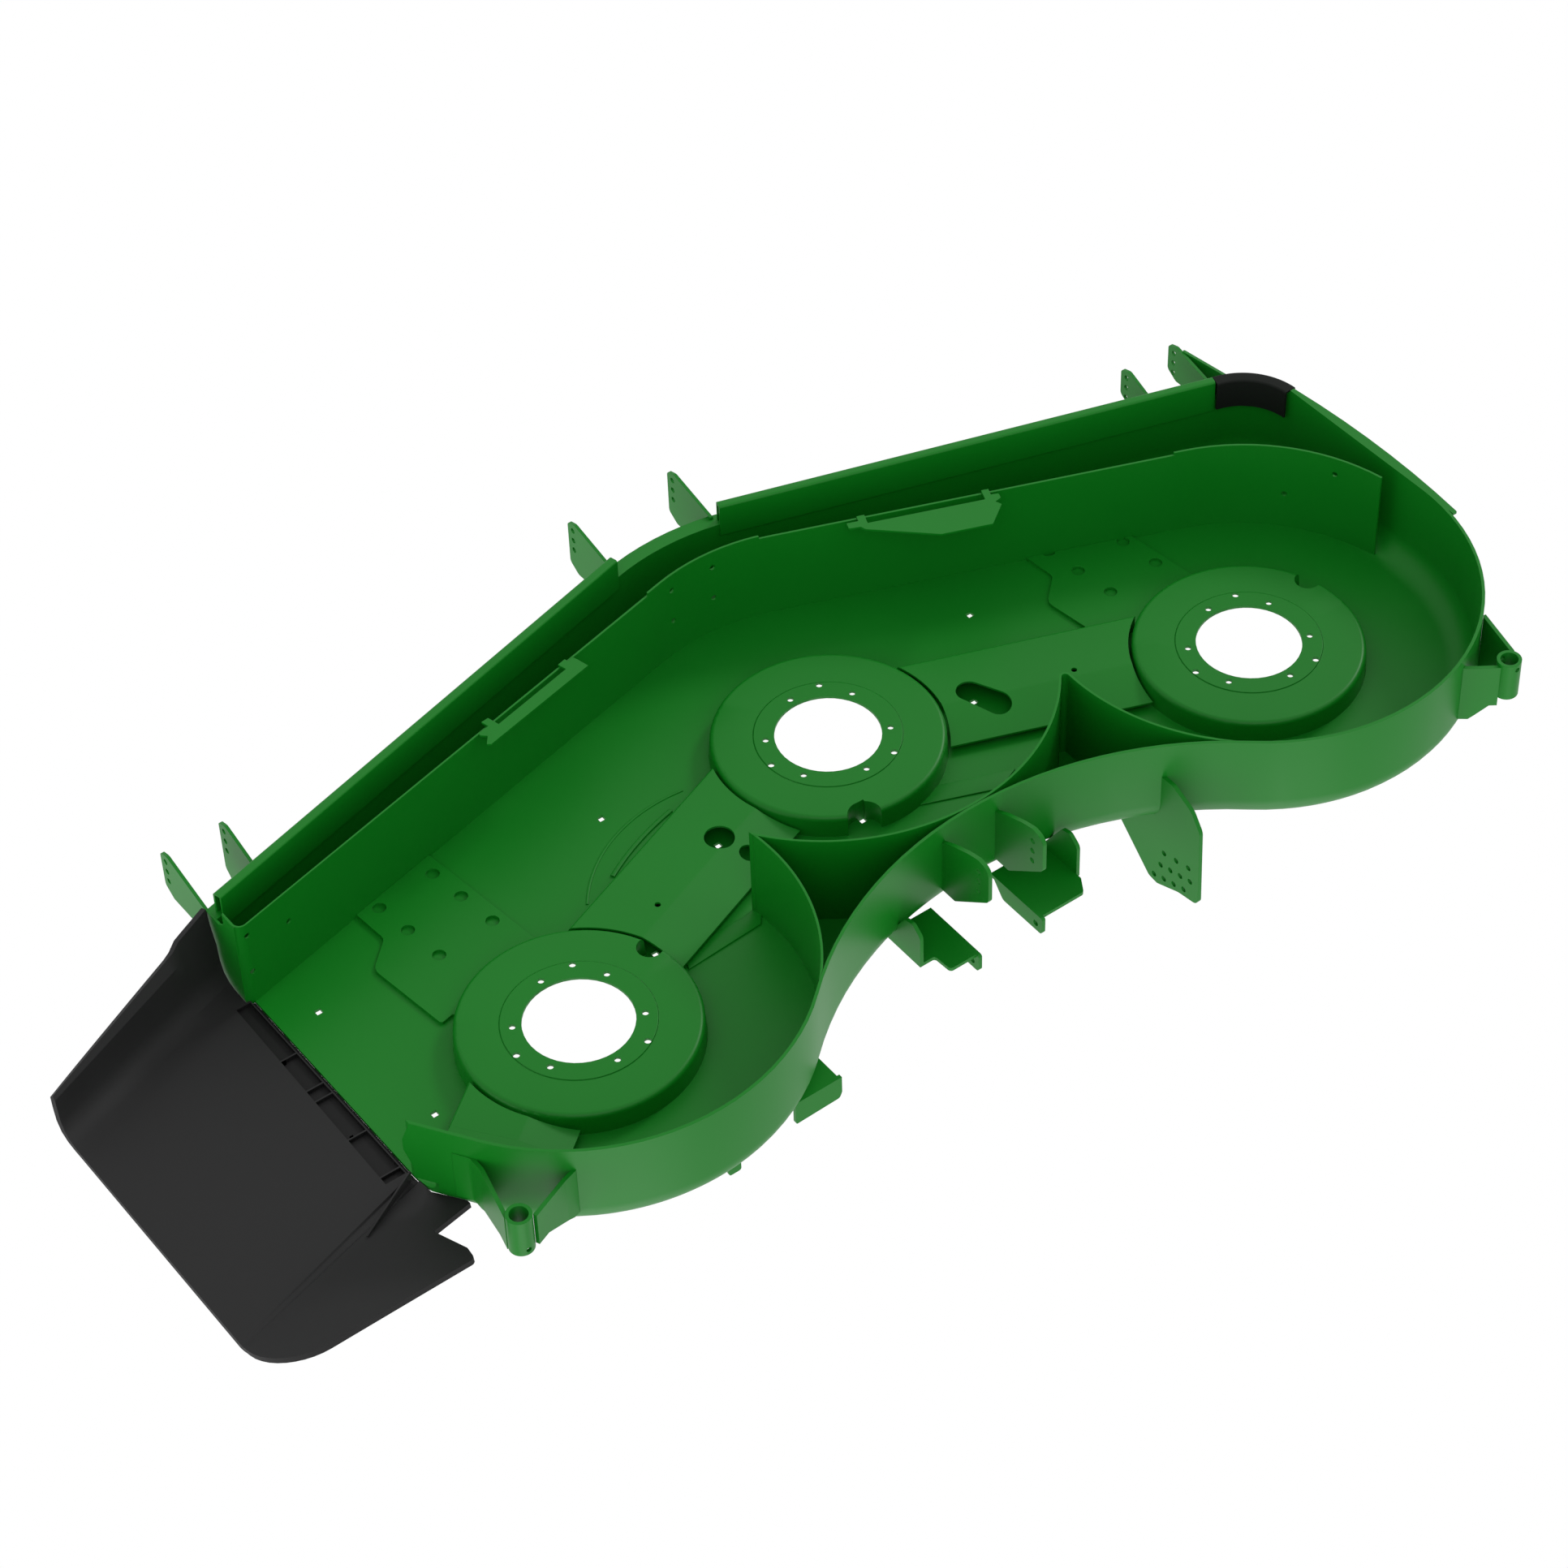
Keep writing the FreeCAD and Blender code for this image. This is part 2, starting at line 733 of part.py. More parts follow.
channel_wall = size("channel_wall")
lead = size("channel_lead")
channel_depth = lead + wall + channel_wall
channel_side_end = -side_reach + size("channel_side_inset")
for name, side, start_x, end_x in (
    ("rim_channel_right", 0, size("channel_centre_gap"), tail_reach - size("channel_discharge_inset")),
    ("rim_channel_left", 1, channel_side_end, -size("channel_centre_gap")),
):
    first = Vector(start_x, front_line(start_x, side, -lead), 0)
    last = Vector(end_x, front_line(end_x, side, -lead), 0)
    way = last - first
    turn = math.degrees(math.atan2(way.y, way.x))
    channel = start_body(name + "_blank", Placement(first, Rotation(Vector(0, 0, 1), turn)))
    profile = [
        (0, flange_low),
        (0, rim, 4),
        (-channel_depth, rim, 4),
        (-channel_depth, flange_low + size("channel_inner_lap")),
        (-channel_depth + channel_wall, flange_low + size("channel_inner_lap")),
        (-channel_depth + channel_wall, rim + channel_wall, 1),
        (-channel_wall, rim + channel_wall, 1),
        (-channel_wall, flange_low),
    ]
    pad(channel, "YZ_Plane", path(profile), 0, way.Length)
    keep(name, trim(name, channel, skirt))

# Corner guard: a moulded channel round the corner, with a short straight lead
guard_outer = corner_inset + lead
guard_inner = guard_outer - size("guard_band")
guard_wall = size("guard_wall")
guard_profile = [
    (guard_outer, flange_low - gap),
    (guard_outer, rim, 3),
    (guard_inner, rim, 3),
    (guard_inner, flange_low + 14),
    (guard_inner + guard_wall, flange_low + 14),
    (guard_inner + guard_wall, rim + guard_wall),
    (guard_outer - guard_wall, rim + guard_wall),
    (guard_outer - guard_wall, flange_low - gap),
]
guard_turn = 90 + size("front_slope_side")
guard = start_body("corner_guard", Placement(corner_centre, Rotation(Vector(0, 0, 1), guard_turn)))
guard_bend = guard.newObject("PartDesign::Revolution", "guard_bend")
guard_bend.Profile = draw(guard, "XZ_Plane", path(guard_profile))
guard_bend.ReferenceAxis = (guard_bend.Profile[0], ["V_Axis"])
guard_sweep = 180 - guard_turn - math.degrees(math.asin((size("guard_clear") + 1) / guard_inner))
guard_bend.Angle = guard_sweep
doc.recompute()
guard_start = corner_centre + polar(Vector(), guard_outer, guard_turn)
channel_start = Vector(channel_side_end, front_line(channel_side_end, 1, -lead), 0)
guard_lead = (channel_start - guard_start).Length - 1.0
pad(guard, "XZ_Plane", path(guard_profile), 0, guard_lead, "lead")
keep("corner_guard", guard)

# Cross members: pressed stiffeners with a foot on the plate, a flat web and a sloping rear half

member_clear = size("member_clear")
member_span = math.hypot(across, behind)


def member(name, origin, turn, low, high, wells, cuts):
    body = start_body(name, Placement(origin, Rotation(Vector(0, 0, 1), turn)))
    front = size("member_front")
    rise = size("member_rise")
    bend = size("member_bend")
    rear = -size("member_rear")
    fall = rise + size("member_fall")
    profile = [
        (front, under),
        (front, rise, 5),
        (bend, rise, 20),
        (rear, fall),
        (rear, fall + sheet_wall),
        (bend, rise + sheet_wall, 17),
        (front - sheet_wall, rise + sheet_wall, 2),
        (front - sheet_wall, under),
    ]
    pad(body, "YZ_Plane", path(profile), low, high - low)
    holes = [circle(place, well_foot + member_clear) for place in wells]
    cut_through(body, "XY_Plane", holes, 0, "plate_rise + 4", "wells")
    if cuts:
        cut_through(body, "XY_Plane", cuts, 0, "plate_rise - 2", "holes")
    return keep(name, body)


right_turn = -math.degrees(math.atan2(behind, across))
half_span = member_span / 2
member(
    "cross_member_right",
    discharge_spindle * 0.5,
    right_turn,
    -half_span + 100,
    half_span - 100,
    [(-half_span, 0), (half_span, 0)],
    [circle((-71, 26), 22), circle((-73, -22), 14), circle((83, 29), 4.5)],
)
slot_ends = [Vector(99.0, 29.6, 0), Vector(65.1, -2.5, 0)]
slot_turn = bearing(slot_ends[1], slot_ends[0])
slot_radius = 20.0
slot_edges = [
    arc(slot_ends[0], slot_radius, slot_turn + 90, slot_turn + 270),
    arc(slot_ends[1], slot_radius, slot_turn - 90, slot_turn + 90),
]
for quarter in (90, -90):
    slot_sides = [polar(end, slot_radius, slot_turn + quarter) for end in slot_ends]
    slot_edges.append(Part.LineSegment(slot_sides[0], slot_sides[1]))
member(
    "cross_member_left",
    side_spindle * 0.5,
    -right_turn,
    -half_span + 100,
    half_span - 100,
    [(-half_span, 0), (half_span, 0)],
    slot_edges + [circle((-60.4, 26.0), 4.5)],
)
member(
    "cross_member_end",
    discharge_spindle,
    -size("end_member_angle"),
    100,
    size("end_member_reach"),
    [(0, 0)],
    [],
)

# Six-hole plates on the underside of the top plate, ahead of the outer wells, drawn about the spindle.
# They end at the front baffle; the one away from the discharge ends at its cross member too.
six_outline = [
    (-24.6, 436.9, 6),
    (119.4, 406.7, 6),
    (111.4, 316.0, 15),
    (154.7, 275.7, 20),
    (136.5, 134.7, 4),
    (113.4, 139.8, 4),
    (100, 80.7),
    (0, 30.7),
    (-40, 110.7),
    (-57, 160.7),
]
six_holes = [(86.2, 378.5), (-9.5, 387.5), (78.1, 318.0), (-16.5, 326.1), (70.1, 251.6), (-24.6, 259.6)]
six_level = under - size("six_hole_wall")
crown, side_face, corner, first, shared, side_end = front_band(-sheet_wall / 2 - gap)
member_ends = []
for reach in (-half_span, half_span):
    local = Vector(reach, size("member_front") + gap, 0)
    member_ends.append(side_spindle * 0.5 + Rotation(Vector(0, 0, 1), -right_turn).multVec(local))
six_zones = {
    "six_hole_plate_right": [centre_spindle, polar(centre_spindle, crown, first), corner, discharge_spindle],
    "six_hole_plate_left": [
        polar(centre_spindle, crown, shared),
        polar(side_spindle, side_face, shared),
        member_ends[0],
        member_ends[1],
    ],
}
six_steps = {"six_hole_plate_right": (-1.5, -9.0), "six_hole_plate_left": (-3.8, -17.0)}
for spindle, name in ((discharge_spindle, "six_hole_plate_right"), (side_spindle, "six_hole_plate_left")):
    blank = start_body(name + "_blank", Placement(spindle, Rotation()))
    pad(blank, "XY_Plane", path(six_outline), six_level, "six_hole_wall")
    step_x, step_y = six_steps[name]
    cuts = [circle((x + step_x, y + step_y), size("six_hole_radius")) for x, y in six_holes]
    cuts.append(circle((0, 0), well_foot + member_clear))
    cut_through(blank, "XY_Plane", cuts, six_level - 1, "six_hole_wall + 2", "holes")
    zone = start_body(name + "_zone")
    zone_corners = [(spot.x, spot.y) for spot in six_zones[name]]
    pad(zone, "XY_Plane", path(zone_corners), six_level - 1, "six_hole_wall + 2")
    keep(name, keep_inside(name, blank, zone))

# Gauge wheel brackets: upright plates with a row of height holes

bracket_wall = size("bracket_wall")
hole_pitch = size("bracket_hole_pitch")
hole_drop = size("bracket_hole_drop")


def upright(name, x, outline, hole_places, hole_radius, formula):
    """Plate in a plane of constant X, with the outline as (Y, Z)."""
    body = start_body(name)
    curves = path(outline)
    curves += [circle(place, hole_radius) for place in hole_places]
    pad(body, "YZ_Plane", curves, x - size(formula) / 2, formula)
    return body


gauge_places = [
    (tail_reach - 9.0, 287.3, -27.0),
    (tail_reach - 103.0, 287.3, 7.0),
    (91.0, 498.3, -13.0),
    (-91.0, 498.3, -13.0),
    (-side_reach + 158.0, 256.3, -44.0),
    (-side_reach + 63.0, 256.3, -44.0),
]
for number, (x, hole_y, head) in enumerate(gauge_places, start=1):
    side = 0 if x > apex.x else 1
    wall_y = front_line(x, side)
    if x < corner_x:
        wall_y = corner_centre.y + math.sqrt(corner_inset**2 - (x - corner_x) ** 2)
    if abs(x) < 120:
        wall_y -= 13
    at_end = x > end_wall_across - 5
    foot_y = end_ahead + gap if at_end else min(wall_y - 8, end_ahead)
    flange_y = wall_y + size("flange_width") * 1.06 + 2.5
    nose_y = hole_y + size("bracket_nose")
    tip = [
        (hole_y - 5, rim + 9, 12),
        (nose_y, rim + 14, 7),
        (nose_y, min(head, 0) - 14, 10),
        (nose_y - 20, head, 8),
        (foot_y, max(head, -27.0) if x > 0 else head),
    ]
    if at_end:
        outline = [(foot_y, flange_low), (flange_y, flange_low)] + tip
    else:
        flange_top = flange_low + wall
        outline = [(foot_y, flange_top), (flange_y, flange_top), (flange_y, flange_low - 4, 3)] + tip
    hole_places = [(hole_y, -hole_drop - i * hole_pitch) for i in range(3)]
    name = "gauge_wheel_bracket_%d" % number
    blank = upright(name + "_blank", x, outline, hole_places, size("bracket_hole_radius"), "bracket_wall")
    if number == len(gauge_places):
        # The outermost plate is folded back to the corner of the deck.
        fold = Vector(x, nose_y - 27, 0)
        wing_end = corner_centre + polar(Vector(), corner_inset + size("flange_width") - 4, 129)
        wing_way = wing_end - fold
        wing = start_body("gauge_wing", Placement(fold, Rotation(Vector(0, 0, 1), bearing(wing_end, fold))))
        wing_length = wing_way.Length
        wing_outline = [
            (0, rim + 10, 4),
            (wing_length, flange_low - 2),
            (wing_length, flange_low + wall),
            (0, head - 10),
        ]
        pad(wing, "XZ_Plane", path(wing_outline), 0, "bracket_wall")
        blank = join(name + "_folded", [blank, wing])
    keep(name, trim(name, blank, deck_form))

# Rear roller ears
seat = -waist_behind
ear_y = seat - size("ear_hole_reach")
ear_outline = [
    (seat + 8, -88),
    (seat - 3, -88),
    (seat - 27, -100, 30),
    (seat - 59, -112, 30),
    (ear_y, rim, 18),
    (ear_y - 22.5, rim + 6, 16),
    (ear_y - 22.5, -52, 12),
    (seat - 32, 5, 6),
    (seat + 8, 5),
]
ear_holes = [(ear_y, -size("bracket_hole_drop") - i * size("bracket_hole_pitch")) for i in range(3)]
for name, sign in (("roller_ear_right", 1), ("roller_ear_left", -1)):
    x = size("rear_centre_across") + sign * size("ear_spacing") / 2
    blank = upright(name + "_blank", x, ear_outline, ear_holes, size("bracket_hole_radius"), "ear_wall")
    keep(name, trim(name, blank, deck_form))

# Lift plate with three rows of hitch holes
lift_outline = [
    (seat - 62, -58),
    (seat - 94, -59, 20),
    (seat - 135, -40, 30),
    (seat - 155, -11, 20),
    (seat - 159.5, 130, 12),
    (seat - 118, 137, 30),
    (seat - 72, 155.5, 8),
    (seat - 54, 153, 12),
    (seat + 59, 43),
    (seat + 59, 20),
    (seat - 62, 20),
]
lift_rows = [((-83.85, 85), (-26, -6), 3), ((-77.85, 113), (-21, -5.5), 4), ((-64.85, 142), (-21.2, -6.5), 4)]
lift_holes = []
for start, stride, count in lift_rows:
    lift_holes += [(seat + start[0] + i * stride[0], start[1] + i * stride[1]) for i in range(count)]
lift_blank = upright(
    "lift_plate_blank", -size("lift_plate_across"), lift_outline, lift_holes, size("lift_hole_radius"),
    "lift_plate_wall",
)
keep("lift_plate", trim("lift_plate", lift_blank, deck_form))

# Hanger brackets: a web on the deck top, an outer flange down behind the skirt and a tab up
hanger_wall = size("hanger_wall")
hanger_rear = seat - size("hanger_reach")
middle = size("rear_centre_across")
hanger_root = seat + 5.85
hanger_edge = seat - 70.15
hanger_tip = top + size("hanger_tab_rise") + 4
for side, sign in (("right", 1), ("left", -1)):
    name = "hanger_bracket_" + side
    outer_x = middle + sign * size("hanger_half_width")
    tab_x = middle + sign * size("hanger_tab_" + side)
    web = start_body(name + "_web")
    web_outline = [
        (tab_x, hanger_root),
        (outer_x, hanger_root),
        (outer_x, hanger_edge),
        (outer_x - sign * 20, hanger_edge, 5),
        (outer_x - sign * 22, hanger_rear, 6),
        (tab_x, hanger_rear),
    ]
    if sign < 0:
        web_outline[2:5] = [(outer_x, hanger_edge - 10), (outer_x + 14, hanger_rear, 6)]
    pad(web, "XY_Plane", path(web_outline), top, "hanger_wall")
    flange_outline = [
        (hanger_root, top),
        (hanger_root, top + hanger_wall),
        (hanger_edge, top + hanger_wall),
        (hanger_edge, -12, 14),
        (hanger_edge + 18, -26, 10),
        (hanger_edge + 34, -22, 10),
        (hanger_root - 8, top - 12),
    ]
    drop = upright(name + "_flange", outer_x + sign * 2.5, flange_outline, [], 1.0, "hanger_wall")
    tab_outline = [
        (hanger_root - 8, top),
        (hanger_rear - 6, top, 4),
        (hanger_rear - 6, hanger_tip, 6),
        (hanger_root - 28, hanger_tip, 10),
        (hanger_root - 8, top + hanger_wall),
    ]
    tab_hole = [(hanger_rear + 8, hanger_tip - 13)]
    tab_middle = tab_x + sign * hanger_wall / 2
    tab = upright(name + "_tab", tab_middle, tab_outline, tab_hole, size("hanger_pin_radius"), "hanger_wall")
    blank = join(name + "_blank", [web, drop, tab])
    keep(name, trim(name, blank, deck_form))

# Side hanger bracket and edge tab on the deck top, drawn about the spindle of the discharge chamber
side_seat = Placement(discharge_spindle, Rotation())
side_web = start_body("side_hanger_web", side_seat)
web_corners = [(-234, -189.3), (-160, -189.3), (-160, -273.3, 4), (-234, -273.3, 4)]
pad(side_web, "XY_Plane", path(web_corners), top, "hanger_wall")
side_up = start_body("side_hanger_up", side_seat)
up_outline = [(-238, top), (-160, top), (-160, 82, 3), (-234, 80, 6), (-238, 70, 4)]
pad(side_up, "XZ_Plane", path(up_outline), 267.3, "hanger_wall")
keep("side_hanger_bracket", join("side_hanger_bracket", [side_web, side_up]))

tab_web = start_body("edge_tab_web", side_seat)
tab_left = -45.0
tab_right = -25.0
tab_rear = -305.3
tab_head = tab_rear + 50
tab_corners = [(tab_left, tab_head), (tab_right, tab_head), (tab_right, tab_rear), (tab_left, tab_rear)]
pad(tab_web, "XY_Plane", path(tab_corners), top, "shell_wall")
tab_up = start_body("edge_tab_up", side_seat)
rise_outline = [(tab_left, top - 6), (tab_right, top - 6), (tab_right, 60, 4), (tab_left, 60, 4)]
pad(tab_up, "XZ_Plane", path(rise_outline), -tab_rear - 4, "shell_wall")
tab_blank = join("edge_tab_blank", [tab_web, tab_up])
keep("edge_tab", trim("edge_tab", tab_blank, deck_form))

# Caster pivot tubes and the bent straps that hold them

bore = size("pivot_bore_radius")
tube_radius = bore + size("pivot_wall")
strap_wall = size("strap_wall")
pivot_length = size("pivot_length")
pivots = {}
pivot_spindles = (("right", "discharge_pivot", discharge_spindle), ("left", "side_pivot", side_spindle))
for side, word, spindle in pivot_spindles:
    axis_place = polar(spindle, radius + size(word + "_reach"), size(word + "_turn"))
    pivots[side] = axis_place - Vector(0, 0, size(word + "_drop"))
for side, foot in pivots.items():
    tube = start_body("pivot_tube_" + side, Placement(foot, Rotation()))
    pad(tube, "XY_Plane", [circle((0, 0), tube_radius), circle((0, 0), bore)], 0, "pivot_length")
    cross_level = pivot_length - 9 if side == "right" else 9.0
    cross = [circle((0, cross_level), size("pivot_pin_radius"))]
    cut_through(tube, "XZ_Plane", cross, -2 * tube_radius, "pivot_bore_radius * 8", "pin")
    keep("pivot_tube_" + side, tube)


def thick_line(points, thickness):
    """Closed strip of even thickness about an open line of points, to both sides."""
    sides = []
    for sign in (1, -1):
        edge = []
        for i, spot in enumerate(points):
            here = Vector(spot[0], spot[1], 0)
            ways = []
            if i > 0:
                ways.append((here - Vector(points[i - 1][0], points[i - 1][1], 0)).normalize())
            if i < len(points) - 1:
                ways.append((Vector(points[i + 1][0], points[i + 1][1], 0) - here).normalize())
            mean = sum(ways, Vector()).normalize()
            normal = Vector(-mean.y, mean.x, 0)
            stretch = thickness / 2 / max(0.2, mean.dot(ways[0]))
            turn = spot[2] if len(spot) > 2 else 0.0
            bend = 0.0
            if turn:
                crossing = ways[0].x * ways[-1].y - ways[0].y * ways[-1].x
                bend = turn - sign * thickness / 2 if crossing > 0 else turn + sign * thickness / 2
            place = here + normal * (sign * stretch)
            edge.append((place.x, place.y, bend))
        sides.append(edge)
    return sides[0] + sides[1][::-1]


# Each strap: its tube and spindle, its top edge at the wall and at the tube, its low edge, and its line
# as (distance beyond the chamber's radius, bearing from the spindle, bend)
straps = {
    "strap_right_front": ("right", discharge_spindle, 3.0, -18.7, -81.5),
    "strap_right_rear": ("right", discharge_spindle, 3.0, -25.0, -81.5),
    "strap_left_front": ("left", side_spindle, 0.0, -40.0, -100.0),
    "strap_left_rear": ("left", side_spindle, 0.0, -26.0, -99.5),
}
strap_lines = {
    "strap_right_front": [(0.3, -26.6, 0), (-1.3, -31.1, 14), (13.2, -34.7, 30), (82.6, -42.8, 0)],
    "strap_right_rear": [(-14.1, -58.6, 0), (-5.7, -55.4, 10), (16.1, -52.6, 30), (75.0, -47.8, 0)],
    "strap_left_front": [(0.5, -132.7, 0), (27.4, -126.6, 0), (52.0, -122.3, 0)],
    "strap_left_rear": [(-3.6, -112.5, 0), (18.6, -114.4, 0), (46.1, -116.8, 0)],
}
for name, (side, spindle, head, tip_head, low) in straps.items():
    line = []
    for reach, angle, bend in strap_lines[name]:
        spot = polar(spindle, radius + reach, angle)
        line.append((spot.x, spot.y, bend))
    strap = start_body(name + "_blank")
    pad(strap, "XY_Plane", path(thick_line(line, strap_wall)), low, head - low)
    # The top edge falls away towards the tube.
    wall_end = Vector(line[0][0], line[0][1], 0)
    tube_end = Vector(line[-1][0], line[-1][1], 0)
    span = (tube_end - wall_end).Length
    shear_turn = Rotation(Vector(0, 0, 1), bearing(tube_end, wall_end))
    shear = start_body(name + "_shear", Placement(wall_end, shear_turn))
    shear_outline = [
        (span * 0.3, head + 1),
        (span * 0.3, head),
        (span * 0.8, tip_head),
        (span * 2, tip_head),
        (span * 2, head + 1),
    ]
    pad(shear, "XZ_Plane", path(shear_outline), -span, 2 * span)
    tube_hole = doc.addObject("Part::Cylinder", name + "_seat")
    tube_hole.Radius = tube_radius + 0.02
    tube_hole.Height = 2 * pivot_length
    tube_hole.Placement.Base = pivots[side] - Vector(0, 0, pivot_length / 2)
    keep(name, trim(name, strap, join(name + "_tools", [deck_form, tube_hole, shear])))

# Discharge chute: a moulded flap with a level panel and two flanks that fall away

chute_wall = size("chute_wall")
level = size("chute_level")
near_x = plate_edge - 23.0
far_x = chute_reach + 4.0
root_x = tail_reach - 1.0


def chute_section(x):
    share = (x - root_x) / (chute_reach - root_x)
    rim_y = 187.6 + share * (70.6 - 187.6)
    rim_z = -size("chute_front_drop") + share * (size("chute_front_drop") - size("chute_tip_drop"))
    fold_y = 171.5 + share * (62.0 - 171.5)
    crease_y = -296.0 + share * (-402.0 + 296.0)
    rear_y = -size("chute_rear") - 4
    rear_z = -size("chute_rear_drop")
    under_line = [
        (rim_y - chute_wall, rim_z),
        (fold_y - chute_wall, level),
        (crease_y, level),
        (rear_y, rear_z),
    ]
    upper_line = [
        (rear_y, rear_z + chute_wall + 0.6),
        (crease_y, level + chute_wall),
        (fold_y, level + chute_wall),
        (rim_y, rim_z),
    ]
    return path(under_line + upper_line)


chute_body = start_body("chute_blank")
chute_loft = chute_body.newObject("PartDesign::AdditiveLoft", "chute_loft")
chute_loft.Profile = draw(chute_body, "YZ_Plane", chute_section(near_x), near_x)
chute_loft.Sections = [draw(chute_body, "YZ_Plane", chute_section(far_x), far_x)]
chute_loft.Ruled = True
edge_x = plate_edge + size("chute_gap")
tail_y = tail_point(tail_reach).y
plan = [
    (edge_x + 9, 86, 4),
    (edge_x + 9, 260),
    (chute_reach, 260),
    (chute_reach, -size("chute_rear"), 78),
    (edge_x + 25, -size("chute_rear"), 8),
    (edge_x + 21, tail_y - 133, 6),
    (edge_x + 35, tail_y - 76, 3),
    (edge_x - 22, tail_y - 69, 5),
    (edge_x + 1, tail_y - 29, 4),
    (edge_x, tail_y - 13),
    (edge_x, 86),
]
surround = path([(near_x - 40, -600), (far_x + 40, -600), (far_x + 40, 400), (near_x - 40, 400)])
cut_through(chute_body, "XY_Plane", surround + path(plan), -150, "plate_rise * 8", "plan")

hinge_z = size("hinge_height")
rod_radius = size("hinge_rod_radius")
eye = size("hinge_eye_radius")
knuckle_length = size("knuckle_length")
knuckle_starts = [-235.0, -100.0, 35.0]
hinge_low = knuckle_starts[0] - 30
hinge_high = knuckle_starts[-1] + knuckle_length + 30
knuckles = []
for number, start in enumerate(knuckle_starts, start=1):
    knuckle = start_body("knuckle_%d" % number)
    centre = Vector(hinge_x, hinge_z, 0)
    foot_low = level + chute_wall - 1.0
    outline = [
        arc(centre, eye, 180, 0),
        Part.LineSegment(Vector(hinge_x + eye, hinge_z, 0), Vector(hinge_x + eye + 6, foot_low, 0)),
        Part.LineSegment(Vector(hinge_x + eye + 6, foot_low, 0), Vector(edge_x + 0.5, foot_low, 0)),
        Part.LineSegment(Vector(edge_x + 0.5, foot_low, 0), Vector(hinge_x - eye, hinge_z, 0)),
        circle(centre, rod_radius + bore_clear),
    ]
    pad(knuckle, "XZ_Plane", outline, -start - knuckle_length, "knuckle_length")
    knuckles.append(knuckle)
keep("discharge_chute", join("discharge_chute", [chute_body] + knuckles))

rod = doc.addObject("Part::Cylinder", "chute_hinge_rod")
tie(rod, "Radius", "hinge_rod_radius")
rod.Height = hinge_high - hinge_low
rod.Placement = Placement(Vector(hinge_x, hinge_low, hinge_z), Rotation(Vector(1, 0, 0), -90))
keep("chute_hinge_rod", rod)

lug_wall = size("lug_wall")
lug_ends = []
for start in knuckle_starts:
    lug_ends += [start - 3 - lug_wall, start + knuckle_length + 3]
lug_reach = 62.0
for number, place in enumerate(lug_ends, start=1):
    lug = start_body("chute_hinge_lug_%d" % number)
    centre = Vector(hinge_x, hinge_z, 0)
    outline = [
        arc(centre, eye, 120, -90),
        Part.LineSegment(polar(centre, eye, -90), Vector(plate_edge - 2, hinge_z - eye, 0)),
        Part.LineSegment(Vector(plate_edge - 2, hinge_z - eye, 0), Vector(plate_edge - 2, top, 0)),
        Part.LineSegment(Vector(plate_edge - 2, top, 0), Vector(hinge_x - lug_reach, top, 0)),
        Part.LineSegment(Vector(hinge_x - lug_reach, top, 0), Vector(hinge_x - lug_reach, top + 6, 0)),
        Part.LineSegment(Vector(hinge_x - lug_reach, top + 6, 0), polar(centre, eye, 120)),
        circle(centre, rod_radius + bore_clear / 2),
    ]
    pad(lug, "XZ_Plane", outline, -place - lug_wall, "lug_wall")
    keep("chute_hinge_lug_%d" % number, lug)

doc.recompute()

# Every object is checked before anything is written.
faults = [item.Label for item in doc.Objects if "Invalid" in item.State or "Error" in item.State]
for name, item in nodes.items():
    shape = item.Shape
    if shape.isNull() or not shape.isValid() or not shape.Solids:
        faults.append(name)
if faults:
    raise RuntimeError("faulty objects: " + ", ".join(sorted(set(faults))))

os.makedirs("parts", exist_ok=True)
for name, item in nodes.items():
    item.Shape.exportStep(os.path.join("parts", name + ".step"))
    box = item.Shape.BoundBox
    spans = (box.XMin, box.XMax, box.YMin, box.YMax, box.ZMin, box.ZMax)
    print(name, len(item.Shape.Solids), "solids", "%.0f mm3" % item.Shape.Volume, ["%.1f" % s for s in spans])
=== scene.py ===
import bmesh
import bpy
import json
import math
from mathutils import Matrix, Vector


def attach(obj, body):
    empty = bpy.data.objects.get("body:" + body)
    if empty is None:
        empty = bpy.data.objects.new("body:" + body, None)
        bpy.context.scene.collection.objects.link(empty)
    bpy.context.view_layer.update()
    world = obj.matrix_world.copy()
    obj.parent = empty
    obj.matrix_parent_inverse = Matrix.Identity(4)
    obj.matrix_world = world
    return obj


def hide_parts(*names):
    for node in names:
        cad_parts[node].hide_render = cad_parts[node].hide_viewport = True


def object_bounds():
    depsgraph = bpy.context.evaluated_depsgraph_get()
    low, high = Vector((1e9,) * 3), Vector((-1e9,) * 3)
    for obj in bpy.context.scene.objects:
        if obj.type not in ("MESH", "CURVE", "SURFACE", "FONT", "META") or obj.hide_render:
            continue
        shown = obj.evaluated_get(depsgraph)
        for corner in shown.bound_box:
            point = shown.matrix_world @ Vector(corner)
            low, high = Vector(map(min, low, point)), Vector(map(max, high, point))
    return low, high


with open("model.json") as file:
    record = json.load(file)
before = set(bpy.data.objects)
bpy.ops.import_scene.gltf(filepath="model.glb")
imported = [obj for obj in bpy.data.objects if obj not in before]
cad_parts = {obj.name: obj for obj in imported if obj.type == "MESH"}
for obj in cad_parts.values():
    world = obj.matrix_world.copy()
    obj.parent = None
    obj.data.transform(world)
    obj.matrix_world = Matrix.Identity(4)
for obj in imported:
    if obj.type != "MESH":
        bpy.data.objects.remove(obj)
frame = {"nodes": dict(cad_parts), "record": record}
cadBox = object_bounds()
nodes = frame["nodes"]
print("frame loaded,", len(nodes), "nodes")

